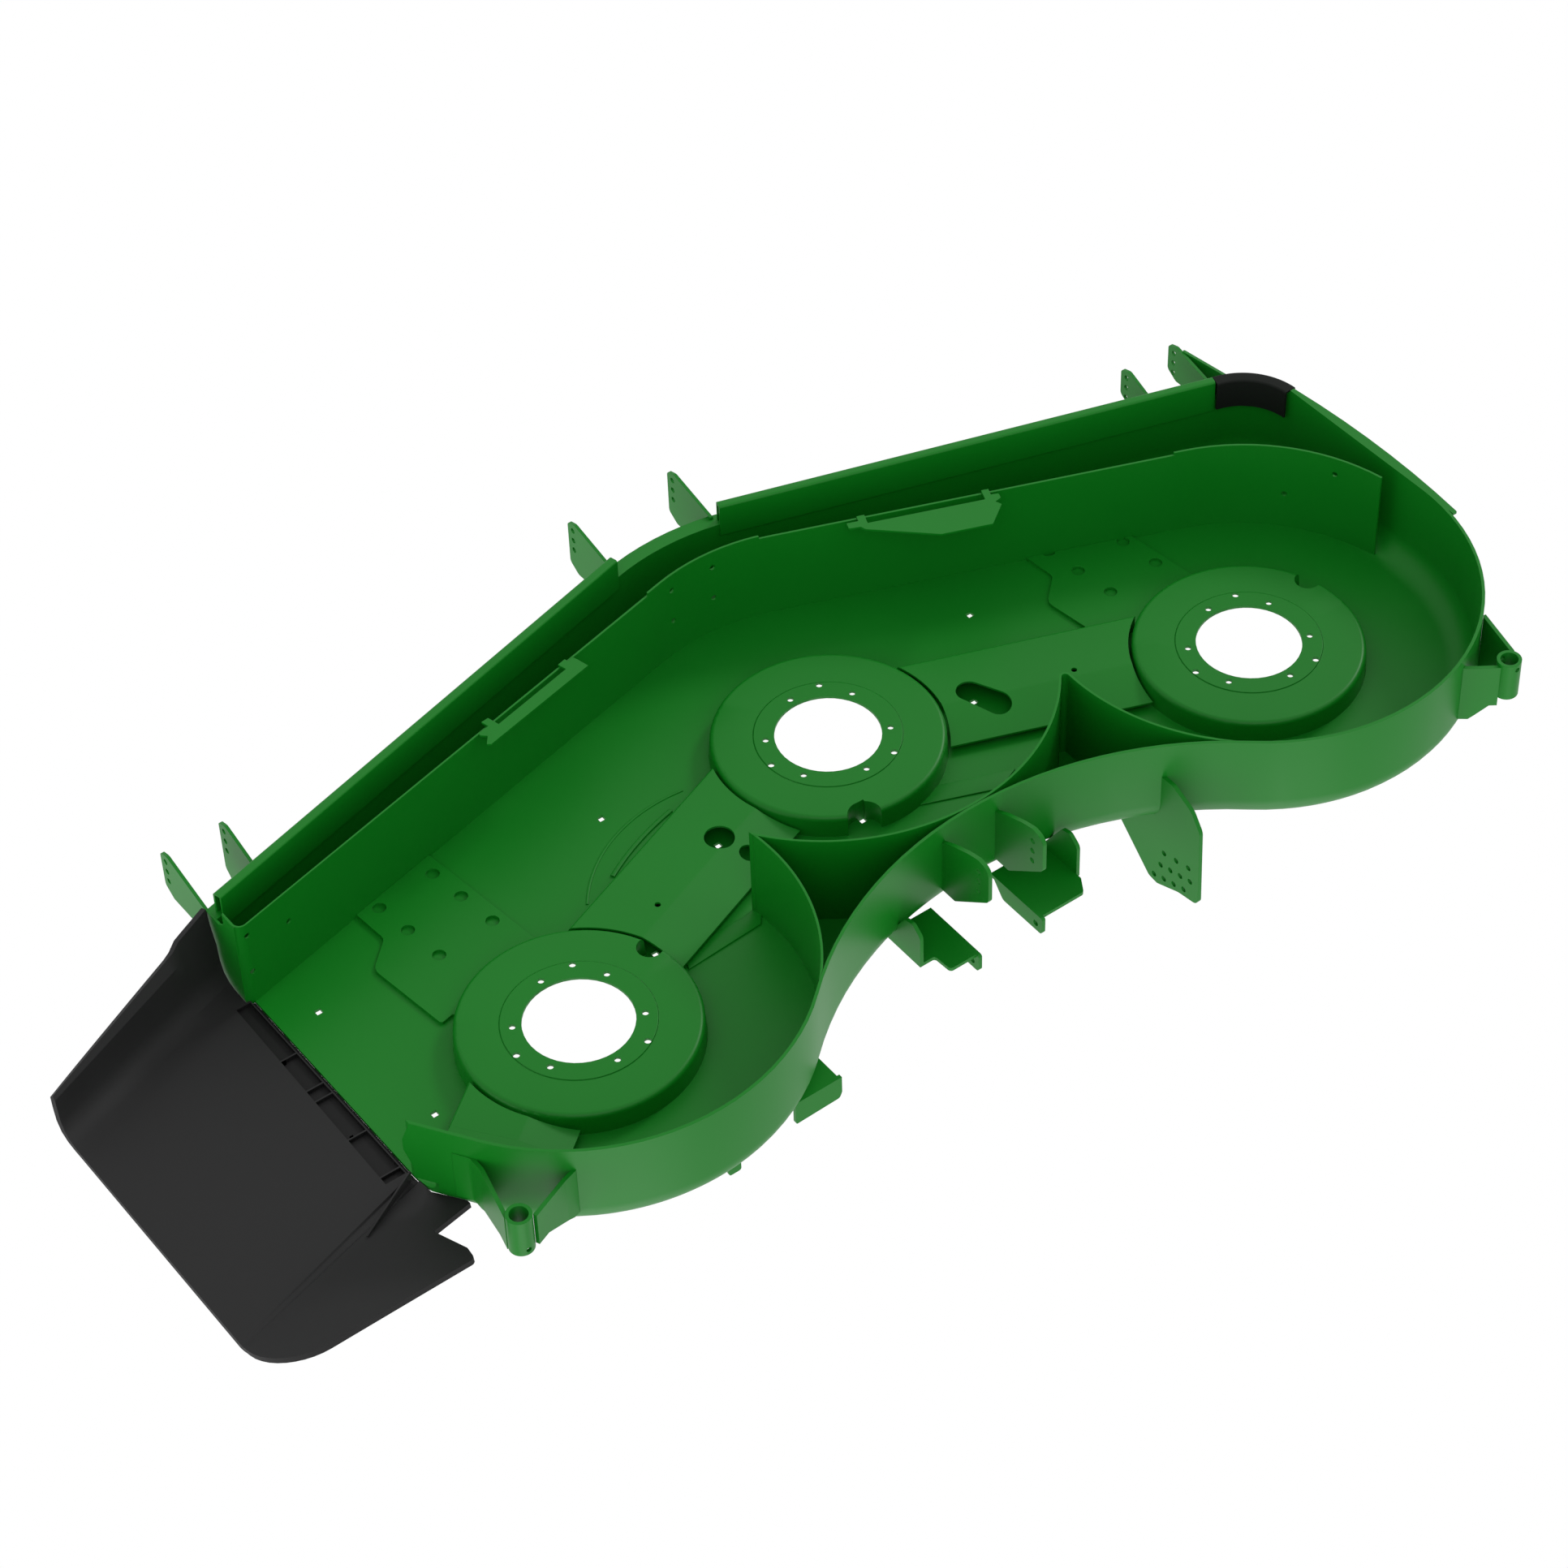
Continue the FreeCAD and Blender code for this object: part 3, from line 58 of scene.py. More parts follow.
# camera: the deck stands open side down, so the photo's view is from below
photoCamera = {
    "place": (2.6472, -3.6094, -4.3699),
    "turn": (-134.9797, -1.5139, -143.0776),
    "lens": 99.745,
    "sensor": 36.0,
    "nearest": 0.1,
    "furthest": 60.0,
}
cameraData = bpy.data.cameras.new("photoCamera")
cameraData.lens = photoCamera["lens"]
cameraData.sensor_width = photoCamera["sensor"]
cameraData.clip_start = photoCamera["nearest"]
cameraData.clip_end = photoCamera["furthest"]
camera = bpy.data.objects.new("photoCamera", cameraData)
camera.location = photoCamera["place"]
camera.rotation_euler = [math.radians(a) for a in photoCamera["turn"]]
bpy.context.scene.collection.objects.link(camera)
bpy.context.scene.camera = camera


# shader maths: a socket that takes part in Python expressions
class Wire:
    def __init__(self, bench, socket):
        self.bench = bench
        self.socket = socket

    def __add__(self, other):
        return self.bench.maths("ADD", self, other)

    __radd__ = __add__

    def __sub__(self, other):
        return self.bench.maths("SUBTRACT", self, other)

    def __rsub__(self, other):
        return self.bench.maths("SUBTRACT", other, self)

    def __mul__(self, other):
        return self.bench.maths("MULTIPLY", self, other)

    __rmul__ = __mul__


# one node tree, with one way to add a node
class Bench:
    def __init__(self, tree):
        self.tree = tree
        tree.nodes.clear()

    def make(self, kind, settings=None, sockets=None, out=0):
        node = self.tree.nodes.new(kind)
        for name, value in (settings or {}).items():
            setattr(node, name, value)
        for name, value in (sockets or {}).items():
            if isinstance(value, Wire):
                self.tree.links.new(value.socket, node.inputs[name])
            else:
                node.inputs[name].default_value = value
        return Wire(self, node.outputs[out])

    def finish(self, kind, surface):
        end = self.tree.nodes.new(kind)
        self.tree.links.new(surface.socket, end.inputs["Surface"])

    def maths(self, operation, first, second):
        return self.make("ShaderNodeMath", {"operation": operation}, {0: first, 1: second})

    def noise(self, where, scale, detail):
        return self.make("ShaderNodeTexNoise", {}, {"Vector": where, "Scale": scale, "Detail": detail}, "Fac")

    def slide(self, value, start, end, first, last):
        # runs smoothly from first to last while the value goes from start to end
        settings = {"interpolation_type": "SMOOTHSTEP"}
        return self.make("ShaderNodeMapRange", settings, {0: value, 1: start, 2: end, 3: first, 4: last})

    def blend(self, share, first, second):
        # inputs 6 and 7 and output 2 are the Mix node's colours
        settings = {"data_type": "RGBA"}
        sockets = {0: share, 6: (*first, 1) if isinstance(first, tuple) else first,
                   7: (*second, 1) if isinstance(second, tuple) else second}
        return self.make("ShaderNodeMix", settings, sockets, 2)


# materials
greenPaint = {
    "shade": (0.0022, 0.170, 0.0082),
    "thin": (0.0030, 0.179, 0.0098),
    "heavy": (0.0016, 0.161, 0.0068),
    "cloudScale": 4.5,
    "fleckScale": 55.0,
    "fleckShare": 0.35,
    "roughness": 0.37,
    "roughSpread": 0.10,
    "specular": 0.23,
    "peelScale": 620.0,
    "peelDepth": 0.00012,
    "peelStrength": 0.35,
    "edge": 0.0006,
    "edgeSamples": 6,
    "ringCentres": ((0.0, 0.0, 0.0), (0.6, -0.2307, 0.0), (-0.6, -0.2307, 0.0)),
    "ringInner": 0.1068,
    "ringOuter": 0.1092,
    "ringRise": 0.0014,
}
blackPlastic = {
    "shade": (0.0122, 0.0122, 0.0124),
    "scuffed": (0.0172, 0.0172, 0.0175),
    "cloudScale": 7.0,
    "scuffShare": 0.5,
    "roughness": 0.56,
    "roughSpread": 0.12,
    "specular": 0.22,
    "grainScale": 1500.0,
    "grainDepth": 0.00014,
    "grainStrength": 0.5,
    # painted shade in the recess beside the hinge: a darker tone given by place and height
    "recess": {"shade": (0.0026, 0.0026, 0.0027), "low": 0.0336, "high": 0.0402, "end": 0.956, "share": 0.95},
}
# the corner guard: the same grain, in another tone
guardRubber = {
    "shade": (0.0050, 0.0068, 0.0052),
    "scuffed": (0.0085, 0.0100, 0.0088),
    "roughness": 0.62,
    "specular": 0.12,
}
rodPaint = {
    "shade": (0.018, 0.018, 0.019),
    "rubbed": (0.03, 0.03, 0.031),
    "rubScale": 90.0,
    "roughness": 0.38,
    "roughSpread": 0.15,
    "specular": 0.4,
}


def newBench(name):
    material = bpy.data.materials.new(name)
    material.use_nodes = True
    return material, Bench(material.node_tree)


def makeGreenPaint():
    material, bench = newBench("greenPaint")
    where = bench.make("ShaderNodeTexCoord", out="Object")
    cloud = bench.noise(where, greenPaint["cloudScale"], detail=3.0)
    fleck = bench.noise(where, greenPaint["fleckScale"], detail=2.0)
    peel = bench.noise(where, greenPaint["peelScale"], detail=1.0)
    coat = bench.blend(cloud, greenPaint["heavy"], greenPaint["thin"])
    coat = bench.blend(fleck * greenPaint["fleckShare"], coat, greenPaint["shade"])
    settings = {"samples": greenPaint["edgeSamples"]}
    edge = bench.make("ShaderNodeBevel", settings, {"Radius": greenPaint["edge"]})
    # the pressed ring round each spindle hole, softened by the paint: its height is in metres
    inner, outer = greenPaint["ringInner"], greenPaint["ringOuter"]
    step = 0.0
    for centre in greenPaint["ringCentres"]:
        reach = bench.make("ShaderNodeVectorMath", {"operation": "DISTANCE"}, {0: where, 1: centre}, "Value")
        step = bench.slide(reach, inner, outer, greenPaint["ringRise"], 0.0) + step
    sockets = {"Strength": 1.0, "Distance": 1.0, "Height": step, "Normal": edge}
    ring = bench.make("ShaderNodeBump", {}, sockets)
    bump = bench.make(
        "ShaderNodeBump",
        {},
        {
            "Strength": greenPaint["peelStrength"],
            "Distance": greenPaint["peelDepth"],
            "Height": peel,
            "Normal": ring,
        },
    )
    paint = bench.make(
        "ShaderNodeBsdfPrincipled",
        {},
        {
            "Base Color": coat,
            "Roughness": greenPaint["roughness"] + greenPaint["roughSpread"] * cloud,
            "Specular IOR Level": greenPaint["specular"],
            "Normal": bump,
        },
    )
    bench.finish("ShaderNodeOutputMaterial", paint)
    return material


def makeBlackPlastic(name, tone):
    material, bench = newBench(name)
    where = bench.make("ShaderNodeTexCoord", out="Object")
    cloud = bench.noise(where, blackPlastic["cloudScale"], detail=3.0)
    grain = bench.noise(where, blackPlastic["grainScale"], detail=1.0)
    shade = bench.blend(cloud * blackPlastic["scuffShare"], tone["shade"], tone["scuffed"])
    # painted shade: a darker band by place and height, where shade falls in the recess beside the hinge
    recess = blackPlastic["recess"]
    across = bench.make("ShaderNodeSeparateXYZ", {}, {0: where}, "X")
    height = bench.make("ShaderNodeSeparateXYZ", {}, {0: where}, "Z")
    deep = bench.maths("LESS_THAN", across, recess["end"])
    deep = deep * bench.maths("GREATER_THAN", height, recess["low"])
    deep = deep * bench.maths("LESS_THAN", height, recess["high"])
    shade = bench.blend(deep * recess["share"], shade, recess["shade"])
    bump = bench.make(
        "ShaderNodeBump",
        {},
        {"Strength": blackPlastic["grainStrength"], "Distance": blackPlastic["grainDepth"], "Height": grain},
    )
    plastic = bench.make(
        "ShaderNodeBsdfPrincipled",
        {},
        {
            "Base Color": shade,
            "Roughness": tone["roughness"] + blackPlastic["roughSpread"] * cloud,
            "Specular IOR Level": tone["specular"],
            "Normal": bump,
        },
    )
    bench.finish("ShaderNodeOutputMaterial", plastic)
    return material


def makeRodPaint():
    material, bench = newBench("rodPaint")
    where = bench.make("ShaderNodeTexCoord", out="Object")
    rub = bench.noise(where, rodPaint["rubScale"], detail=2.0)
    paint = bench.make(
        "ShaderNodeBsdfPrincipled",
        {},
        {
            "Base Color": bench.blend(rub, rodPaint["shade"], rodPaint["rubbed"]),
            "Roughness": rodPaint["roughness"] + rodPaint["roughSpread"] * rub,
            "Specular IOR Level": rodPaint["specular"],
        },
    )
    bench.finish("ShaderNodeOutputMaterial", paint)
    return material


materials = {
    "green_paint": makeGreenPaint(),
    "black_plastic": makeBlackPlastic("blackPlastic", blackPlastic),
    "plated_rod": makeRodPaint(),
}
guardMaterial = makeBlackPlastic("guardRubber", guardRubber)
print("materials made")

# the CAD nodes: their own shapes, welded for shading, with the new finishes
shading = {"weld": 0.00002, "sharp": 32.0, "mouldedSharp": 28.0}
slotOf = {part["node"]: part["material_slot"] for part in frame["record"]["subparts"]}
for name, piece in nodes.items():
    piece.data.materials.clear()
    piece.data.materials.append(guardMaterial if name == "corner_guard" else materials[slotOf[name]])
    for face in piece.data.polygons:
        face.use_smooth = True
    weld = piece.modifiers.new("weld", "WELD")
    weld.merge_threshold = shading["weld"]
    split = piece.modifiers.new("sharp", "EDGE_SPLIT")
    split.split_angle = math.radians(shading["sharp"])
print("nodes dressed")

# modelling helpers: corners, edges and faces are picked by their place
# how near a corner has to be to the place where it is looked for, in metres
near = {"grid": 0.001, "corner": 0.0005, "crease": 0.0004, "level": 0.0001}
facing = 0.9  # a face looks one way when this much of its normal does


def pick(piece, kind, test):
    # corners or edges, all of whose ends pass the test
    sketch = bmesh.from_edit_mesh(piece.data)
    bpy.ops.mesh.select_all(action="DESELECT")
    bpy.ops.mesh.select_mode(type=kind)
    for item in sketch.verts if kind == "VERT" else sketch.edges:
        spots = [item.co] if kind == "VERT" else [corner.co for corner in item.verts]
        if all(test(spot) for spot in spots):
            item.select_set(True)
    sketch.select_flush_mode()
    bmesh.update_edit_mesh(piece.data)


def pickFaces(piece, test):
    # faces by middle and direction
    sketch = bmesh.from_edit_mesh(piece.data)
    bpy.ops.mesh.select_mode(type="FACE")
    bpy.ops.mesh.select_all(action="DESELECT")
    for face in sketch.faces:
        if test(face.calc_center_median(), face.normal):
            face.select_set(True)
    bmesh.update_edit_mesh(piece.data)


def openEdit(name, scale=(1, 1, 1)):
    piece = bpy.context.object
    piece.scale = scale
    piece.name = name
    piece.data.name = name
    bpy.ops.object.transform_apply(location=True, rotation=True, scale=True)
    bpy.ops.object.mode_set(mode="EDIT")
    return piece


def closeEdit():
    bpy.ops.object.mode_set(mode="OBJECT")


def extrudeBy(way):
    bpy.ops.mesh.extrude_region_move(TRANSFORM_OT_translate={"value": way})


def faceOutwards():
    bpy.ops.mesh.select_all(action="SELECT")
    bpy.ops.mesh.normals_make_consistent(inside=False)


def shadeByAngle(piece, angle):
    bpy.ops.object.select_all(action="DESELECT")
    piece.select_set(True)
    bpy.context.view_layer.objects.active = piece
    bpy.ops.object.shade_smooth_by_angle(angle=math.radians(angle))


def applyAll(piece):
    bpy.context.view_layer.objects.active = piece
    for modifier in list(piece.modifiers):
        bpy.ops.object.modifier_apply(modifier=modifier.name)


# the discharge chute: one moulded sheet, seen from its inner side in the photo
chute = {
    "root": 0.930,
    "span": 0.316,
    "nearX": 0.890,
    "farX": 1.250,
    "wall": 0.008,
    "columns": 26,
    # rows from the rim of the wing to the rear edge: y and z at the root, then at the far side
    "rows": [
        (0.1796, -0.0815, 0.0626, -0.0345),
        (0.1672, -0.0600, 0.0578, -0.0298),
        (0.1655, -0.0300, 0.0566, -0.0150),
        (0.1630, 0.0000, 0.0536, 0.0080),
        (0.1560, 0.0180, 0.0470, 0.0215),
        (0.1440, 0.0285, 0.0370, 0.0290),
        (0.1270, 0.0325, 0.0220, 0.0325),
        (0.1080, 0.0330, 0.0030, 0.0330),
        (-0.2960, 0.0330, -0.3920, 0.0330),
        (-0.2985, 0.0362, -0.3935, 0.0333),
        (-0.3110, 0.0356, -0.3990, 0.0328),
        (-0.3150, 0.0312, -0.4030, 0.0312),
        (-0.4980, -0.0080, -0.4980, -0.0080),
    ],
    "crispRows": (1, 8, 9, 10, 11),
    # the tab beside the hinge: the rim lies below tabRim, and the band above it is pushed forward
    "tabEnd": 0.984,
    "tabRim": -0.062,
    "tabRimForward": 0.0008,
    "tabDrop": 0.0060,
    "tabBand": (-0.068, -0.045),
    "tabBandForward": 0.0080,
    # plan outline: x, y and corner radius
    "outline": [
        (0.9255, 0.103, 0.0), (0.9255, 0.260, 0.0), (1.2434, 0.260, 0.0), (1.2434, -0.490, 0.078),
        (0.944, -0.490, 0.008), (0.940, -0.466, 0.006), (0.954, -0.407, 0.003), (0.8866, -0.3954, 0.003),
        (0.8902, -0.3883, 0.0), (0.9039, -0.3611, 0.0), (0.9099, -0.3487, 0.0), (0.9145, -0.3400, 0.0),
        (0.9145, -0.3020, 0.0), (0.919, -0.3020, 0.0), (0.919, 0.103, 0.0),
    ],
    # a corner wider than wideCorner gets more chords
    "wideCorner": 0.02,
    "wideSteps": 10,
    "tightSteps": 4,
    "cutMargin": 0.001,
    "fineMargin": 0.0002,
    "cutSnap": 0.00001,
    "pocketNear": 0.9208,
    "pocketEdge": ((0.943, 0.124), (0.952, -0.292)),
    "pocketFront": 0.1005,
    "pocketRear": -0.286,
    "pocketDepth": 0.0062,
    "pocketTop": 0.0335,
    "pocketShort": 0.004,
    "ribs": (-0.017, -0.084, -0.107, -0.191, -0.272),
    "ribWall": 0.0024,
    # two small holes right through the flat part
    "specks": ((0.9398, -0.0215), (0.9398, -0.1900)),
    "speckSize": (0.0052, 0.0030),
    "speckAbove": 0.03,
}


def chuteRow(row, x):
    share = (x - chute["root"]) / chute["span"]
    nearY, nearZ, farY, farZ = chute["rows"][row]
    return nearY + (farY - nearY) * share, nearZ + (farZ - nearZ) * share


def roundedOutline(corners):
    # corner arcs as short chords
    line = []
    count = len(corners)
    for i, (x, y, radius) in enumerate(corners):
        here = Vector((x, y))
        if radius == 0:
            line.append(here)
            continue
        before = (Vector(corners[i - 1][:2]) - here).normalized()
        after = (Vector(corners[(i + 1) % count][:2]) - here).normalized()
        half = before.angle(after) / 2
        reach = radius / math.tan(half)
        middle = here + (before + after).normalized() * (radius / math.sin(half))
        first, last = here + before * reach - middle, here + after * reach - middle
        steps = chute["wideSteps"] if radius > chute["wideCorner"] else chute["tightSteps"]
        turn = first.angle_signed(last)
        for step in range(steps + 1):
            angle = -turn * step / steps
            line.append(middle + Vector((
                first.x * math.cos(angle) - first.y * math.sin(angle),
                first.x * math.sin(angle) + first.y * math.cos(angle),
            )))
    return line


def insideOutline(line, spot):
    inside = False
    for i, here in enumerate(line):
        there = line[i - 1]
        if (here.y > spot.y) != (there.y > spot.y):
            if spot.x < (there.x - here.x) * (spot.y - here.y) / (there.y - here.y) + here.x:
                inside = not inside
    return inside


def cutAlong(piece, here, there, margin=chute["cutMargin"]):
    # splits the faces beside one straight line of the plan
    lowX, highX = min(here[0], there[0]) - margin, max(here[0], there[0]) + margin
    lowY, highY = min(here[1], there[1]) - margin, max(here[1], there[1]) + margin
    sketch = bmesh.from_edit_mesh(piece.data)
    bpy.ops.mesh.select_mode(type="FACE")
    bpy.ops.mesh.select_all(action="DESELECT")
    for face in sketch.faces:
        xs = [corner.co.x for corner in face.verts]
        ys = [corner.co.y for corner in face.verts]
        face.select_set(max(xs) > lowX and min(xs) < highX and max(ys) > lowY and min(ys) < highY)
    bmesh.update_edit_mesh(piece.data)
    way = Vector((there[0] - here[0], there[1] - here[1], 0))
    across = way.cross(Vector((0, 0, 1))).normalized()
    bpy.ops.mesh.bisect(plane_co=(here[0], here[1], 0), plane_no=across, threshold=chute["cutSnap"])


def makeChuteFlap():
    rows = chute["rows"]
    last = len(rows) - 1
    depth = 1.0
    aside = 10.0  # keeps the moved rows clear of those still to move
    bpy.ops.mesh.primitive_grid_add(
        x_subdivisions=1, y_subdivisions=last, size=depth, location=(chute["nearX"] - depth / 2, 0, 0)
    )
    flap = openEdit("chuteFlap")
    # each row of the grid goes to its place on the section: the near end, then the far end
    for side, x in ((-1, chute["nearX"]), (1, chute["farX"])):
        edge = chute["nearX"] - depth / 2 + side * depth / 2
        for row in range(last + 1):
            level = depth / 2 - row * depth / last

            def unmoved(spot):
                apart = max(abs(spot.x - edge), abs(spot.y - level))
                return apart < near["grid"] and spot.z == 0

            pick(flap, "VERT", unmoved)
            y, z = chuteRow(row, x)
            bpy.ops.transform.translate(value=(x - edge, y - level + aside, z + aside))
    bpy.ops.mesh.select_all(action="SELECT")
    bpy.ops.transform.translate(value=(0, -aside, -aside))
    # the rows, which run from the near end to the far end, are divided into columns
    bpy.ops.mesh.select_mode(type="EDGE")
    sketch = bmesh.from_edit_mesh(flap.data)
    bpy.ops.mesh.select_all(action="DESELECT")
    for edge in sketch.edges:
        ends = edge.verts
        edge.select_set(abs(ends[0].co.x - ends[1].co.x) > (chute["farX"] - chute["nearX"]) / 2)
    bmesh.update_edit_mesh(flap.data)
    bpy.ops.mesh.subdivide(number_cuts=chute["columns"])
    # beside the hinge the wing has no lip, and its rim is lower
    pick(flap, "VERT", lambda spot: spot.x < chute["tabEnd"] and spot.z < chute["tabRim"])
    bpy.ops.transform.translate(value=(0, chute["tabRimForward"], -chute["tabDrop"]))
    bandLow, bandHigh = chute["tabBand"]
    pick(flap, "VERT", lambda spot: spot.x < chute["tabEnd"] and bandLow < spot.z < bandHigh)
    bpy.ops.transform.translate(value=(0, chute["tabBandForward"], 0))
    # the outline, the pockets beside the hinge and their ribs
    outline = roundedOutline(chute["outline"])
    for i, here in enumerate(outline):
        cutAlong(flap, here, outline[i - 1])
    (edgeX, edgeY), (endX, endY) = chute["pocketEdge"]
    cutAlong(flap, (edgeX, edgeY), (endX, endY))
    cutAlong(flap, (chute["pocketNear"], chute["pocketFront"]), (chute["pocketNear"], chute["pocketRear"]))
    levels = [chute["pocketFront"], chute["pocketRear"]]
    for rib in chute["ribs"]:
        levels += [rib - chute["ribWall"] / 2, rib + chute["ribWall"] / 2]
    fine = chute["fineMargin"]
    for level in levels:
        cutAlong(flap, (chute["pocketNear"], level), (endX - chute["pocketShort"], level), fine)
    wide, deep = chute["speckSize"]
    for x, y in chute["specks"]:
        for across in (x, x + wide):
            cutAlong(flap, (across, y), (across, y + deep), fine)
        for level in (y, y + deep):
            cutAlong(flap, (x, level), (x + wide, level), fine)

    def cutAway(middle, way):
        inSpeck = any(x < middle.x < x + wide and y < middle.y < y + deep for x, y in chute["specks"])
        return not insideOutline(outline, middle) or (inSpeck and middle.z > chute["speckAbove"])

    pickFaces(flap, cutAway)
    bpy.ops.mesh.delete(type="FACE")
    faceOutwards()
    # the sheet faces down, so that its wall grows upward, away from the open side
    sketch = bmesh.from_edit_mesh(flap.data)
    if sum(face.normal.z * face.calc_area() for face in sketch.faces) > 0:
        bpy.ops.mesh.flip_normals()
    closeEdit()
    thick = flap.modifiers.new("wall", "SOLIDIFY")
    thick.thickness = chute["wall"]
    thick.offset = -1.0
    thick.use_even_offset = True
    applyAll(flap)
    bpy.ops.object.mode_set(mode="EDIT")

    def pocketFloor(middle, way):
        if way.z > -facing or middle.z > chute["pocketTop"]:
            return False
        if not chute["pocketRear"] < middle.y < chute["pocketFront"]:
            return False
        edge = edgeX + (endX - edgeX) * (middle.y - edgeY) / (endY - edgeY)
        if not chute["pocketNear"] < middle.x < edge:
            return False
        return all(abs(middle.y - rib) > chute["ribWall"] / 2 for rib in chute["ribs"])

    pickFaces(flap, pocketFloor)
    extrudeBy((0, 0, chute["pocketDepth"]))
    # the lip and the creases stay crisp
    for row in chute["crispRows"]:

        def onCrease(spot):
            y, z = chuteRow(row, spot.x)
            return abs(spot.y - y) < near["crease"] and abs(spot.z - z) < near["crease"]

        pick(flap, "EDGE", onCrease)
        bpy.ops.mesh.mark_sharp()
    closeEdit()
    finishBlack(flap)
    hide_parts("discharge_chute")


def finishBlack(piece):
    piece.data.materials.append(materials["black_plastic"])
    shadeByAngle(piece, shading["mouldedSharp"])
    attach(piece, "chute")


# strip on the flap's upper side that closes the gap to the deck plate, under the hinge lugs
chuteStrip = {
    "nearX": 0.9128,
    "farX": 0.9300,
    "rear": -0.300,
    "front": 0.1028,
    "level": 0.0412,
    "wall": 0.0016,
}


def makeChuteStrip():
    wide, long = chuteStrip["farX"] - chuteStrip["nearX"], chuteStrip["front"] - chuteStrip["rear"]
    middle = (chuteStrip["nearX"] + wide / 2, chuteStrip["rear"] + long / 2, chuteStrip["level"])
    bpy.ops.object.select_all(action="DESELECT")
    bpy.ops.mesh.primitive_plane_add(size=1, location=middle)
    strip = openEdit("chuteStrip", (wide, long, 1))
    bpy.ops.mesh.select_all(action="SELECT")
    extrudeBy((0, 0, chuteStrip["wall"]))
    faceOutwards()
    closeEdit()
    finishBlack(strip)


# knuckles on the hinge rod
knuckle = {
    "starts": (-0.235, -0.100, 0.035),
    "length": 0.046,
    "radius": 0.010,
    "sides": 36,
    "bore": 0.0051,
    "axis": (0.926, 0.055),
    # the faces that look down this much and lie this far below the axis grow into the foot
    "footFacing": 0.75,
    "footBelow": 0.008,
    "footStart": 0.001,
    "footSpread": 1.25,
    "foot": 0.0412,
}


def makeKnuckle(number, start):
    x, z = knuckle["axis"]
    middle = (x, start + knuckle["length"] / 2, z)
    bpy.ops.object.select_all(action="DESELECT")
    bpy.ops.mesh.primitive_cylinder_add(
        vertices=knuckle["sides"],
        radius=knuckle["radius"],
        depth=knuckle["length"],
        location=middle,
        rotation=(math.pi / 2, 0, 0),
    )
    tube = openEdit("chuteKnuckle_" + str(number))
    pickFaces(tube, lambda spot, way: abs(way.y) > facing)
    bpy.ops.mesh.inset(thickness=knuckle["radius"] - knuckle["bore"])
    bpy.ops.mesh.bridge_edge_loops()
    # the foot: the lower faces run down to the flap
    pickFaces(tube, lambda spot, way: way.z < -knuckle["footFacing"] and spot.z < z - knuckle["footBelow"])
    extrudeBy((0, 0, -knuckle["footStart"]))
    flat = (knuckle["footSpread"], 1, 0)
    bpy.ops.transform.resize(value=flat, center_override=(x, middle[1], knuckle["foot"]))
    faceOutwards()
    closeEdit()
    finishBlack(tube)


# thin web that stiffens the rear crease at the hinge end
gusset = {
    "root": (0.9215, -0.3005),
    "tip": (1.022, -0.3490),
    "wall": 0.0028,
    "rootTop": 0.0340,
    "tipTop": 0.0280,
    "rootLow": 0.0140,
    "tipLow": 0.0262,
    "bevel": 0.0006,
    "endReach": 0.01,
}


def makeGusset():
    root, tip = Vector(gusset["root"]), Vector(gusset["tip"])
    way = tip - root
    middle = (root + tip) / 2
    bpy.ops.object.select_all(action="DESELECT")
    # a plain web as high as the root, whose tip then narrows
    high, low = gusset["rootTop"], gusset["rootLow"]
    bpy.ops.mesh.primitive_cube_add(
        size=1, location=(middle.x, middle.y, (high + low) / 2), rotation=(0, 0, math.atan2(way.y, way.x))
    )
    web = openEdit("chuteGusset", (way.length, gusset["wall"], high - low))
    for level, goal in ((high, gusset["tipTop"]), (low, gusset["tipLow"])):

        def atTip(spot):
            return (spot.xy - tip).length < gusset["endReach"] and abs(spot.z - level) < near["level"]

        pick(web, "VERT", atTip)
        bpy.ops.transform.translate(value=(0, 0, goal - level))
    bpy.ops.mesh.select_all(action="SELECT")
    bpy.ops.mesh.bevel(offset=gusset["bevel"], segments=2, affect="EDGES")
    closeEdit()
    finishBlack(web)


makeChuteFlap()
makeChuteStrip()
for number, start in enumerate(knuckle["starts"], 1):
    makeKnuckle(number, start)
makeGusset()
print("chute made")

# low stampings in the deck plate, seen between the wells
stamping = {
    "level": 0.0361,
    "arcs": {
        "stampedArc_outer": {"centre": (0.2497, -0.1779), "radius": 0.2472, "from": 35.9, "to": 98.6,
                             "width": 0.0040, "rise": 0.0016},
        "stampedArc_inner": {"centre": (0.1532, -0.4134), "radius": 0.4670, "from": 59.4, "to": 78.0,
                             "width": 0.0075, "rise": 0.0030},
    },
    "bands": {
        "stampedBand_side": ((-0.076, -0.153), (-0.187, -0.197), (-0.145, -0.214), (-0.024, -0.165)),
        "stampedBand_discharge": ((0.401, -0.193), (0.261, -0.188), (0.282, -0.215), (0.411, -0.222)),
    },
    "arcSteps": 28,
    "arcBevel": 0.7,  # share of the rise
    "arcEnd": 0.7,  # an edge that runs outward this much is at the arc's end
    "bandStart": 0.01,
    "bandRise": 0.0026,
    "bandBevel": 0.0009,
}


def finishGreen(piece):
    piece.data.materials.append(materials["green_paint"])
    shadeByAngle(piece, shading["sharp"])
    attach(piece, "deck")


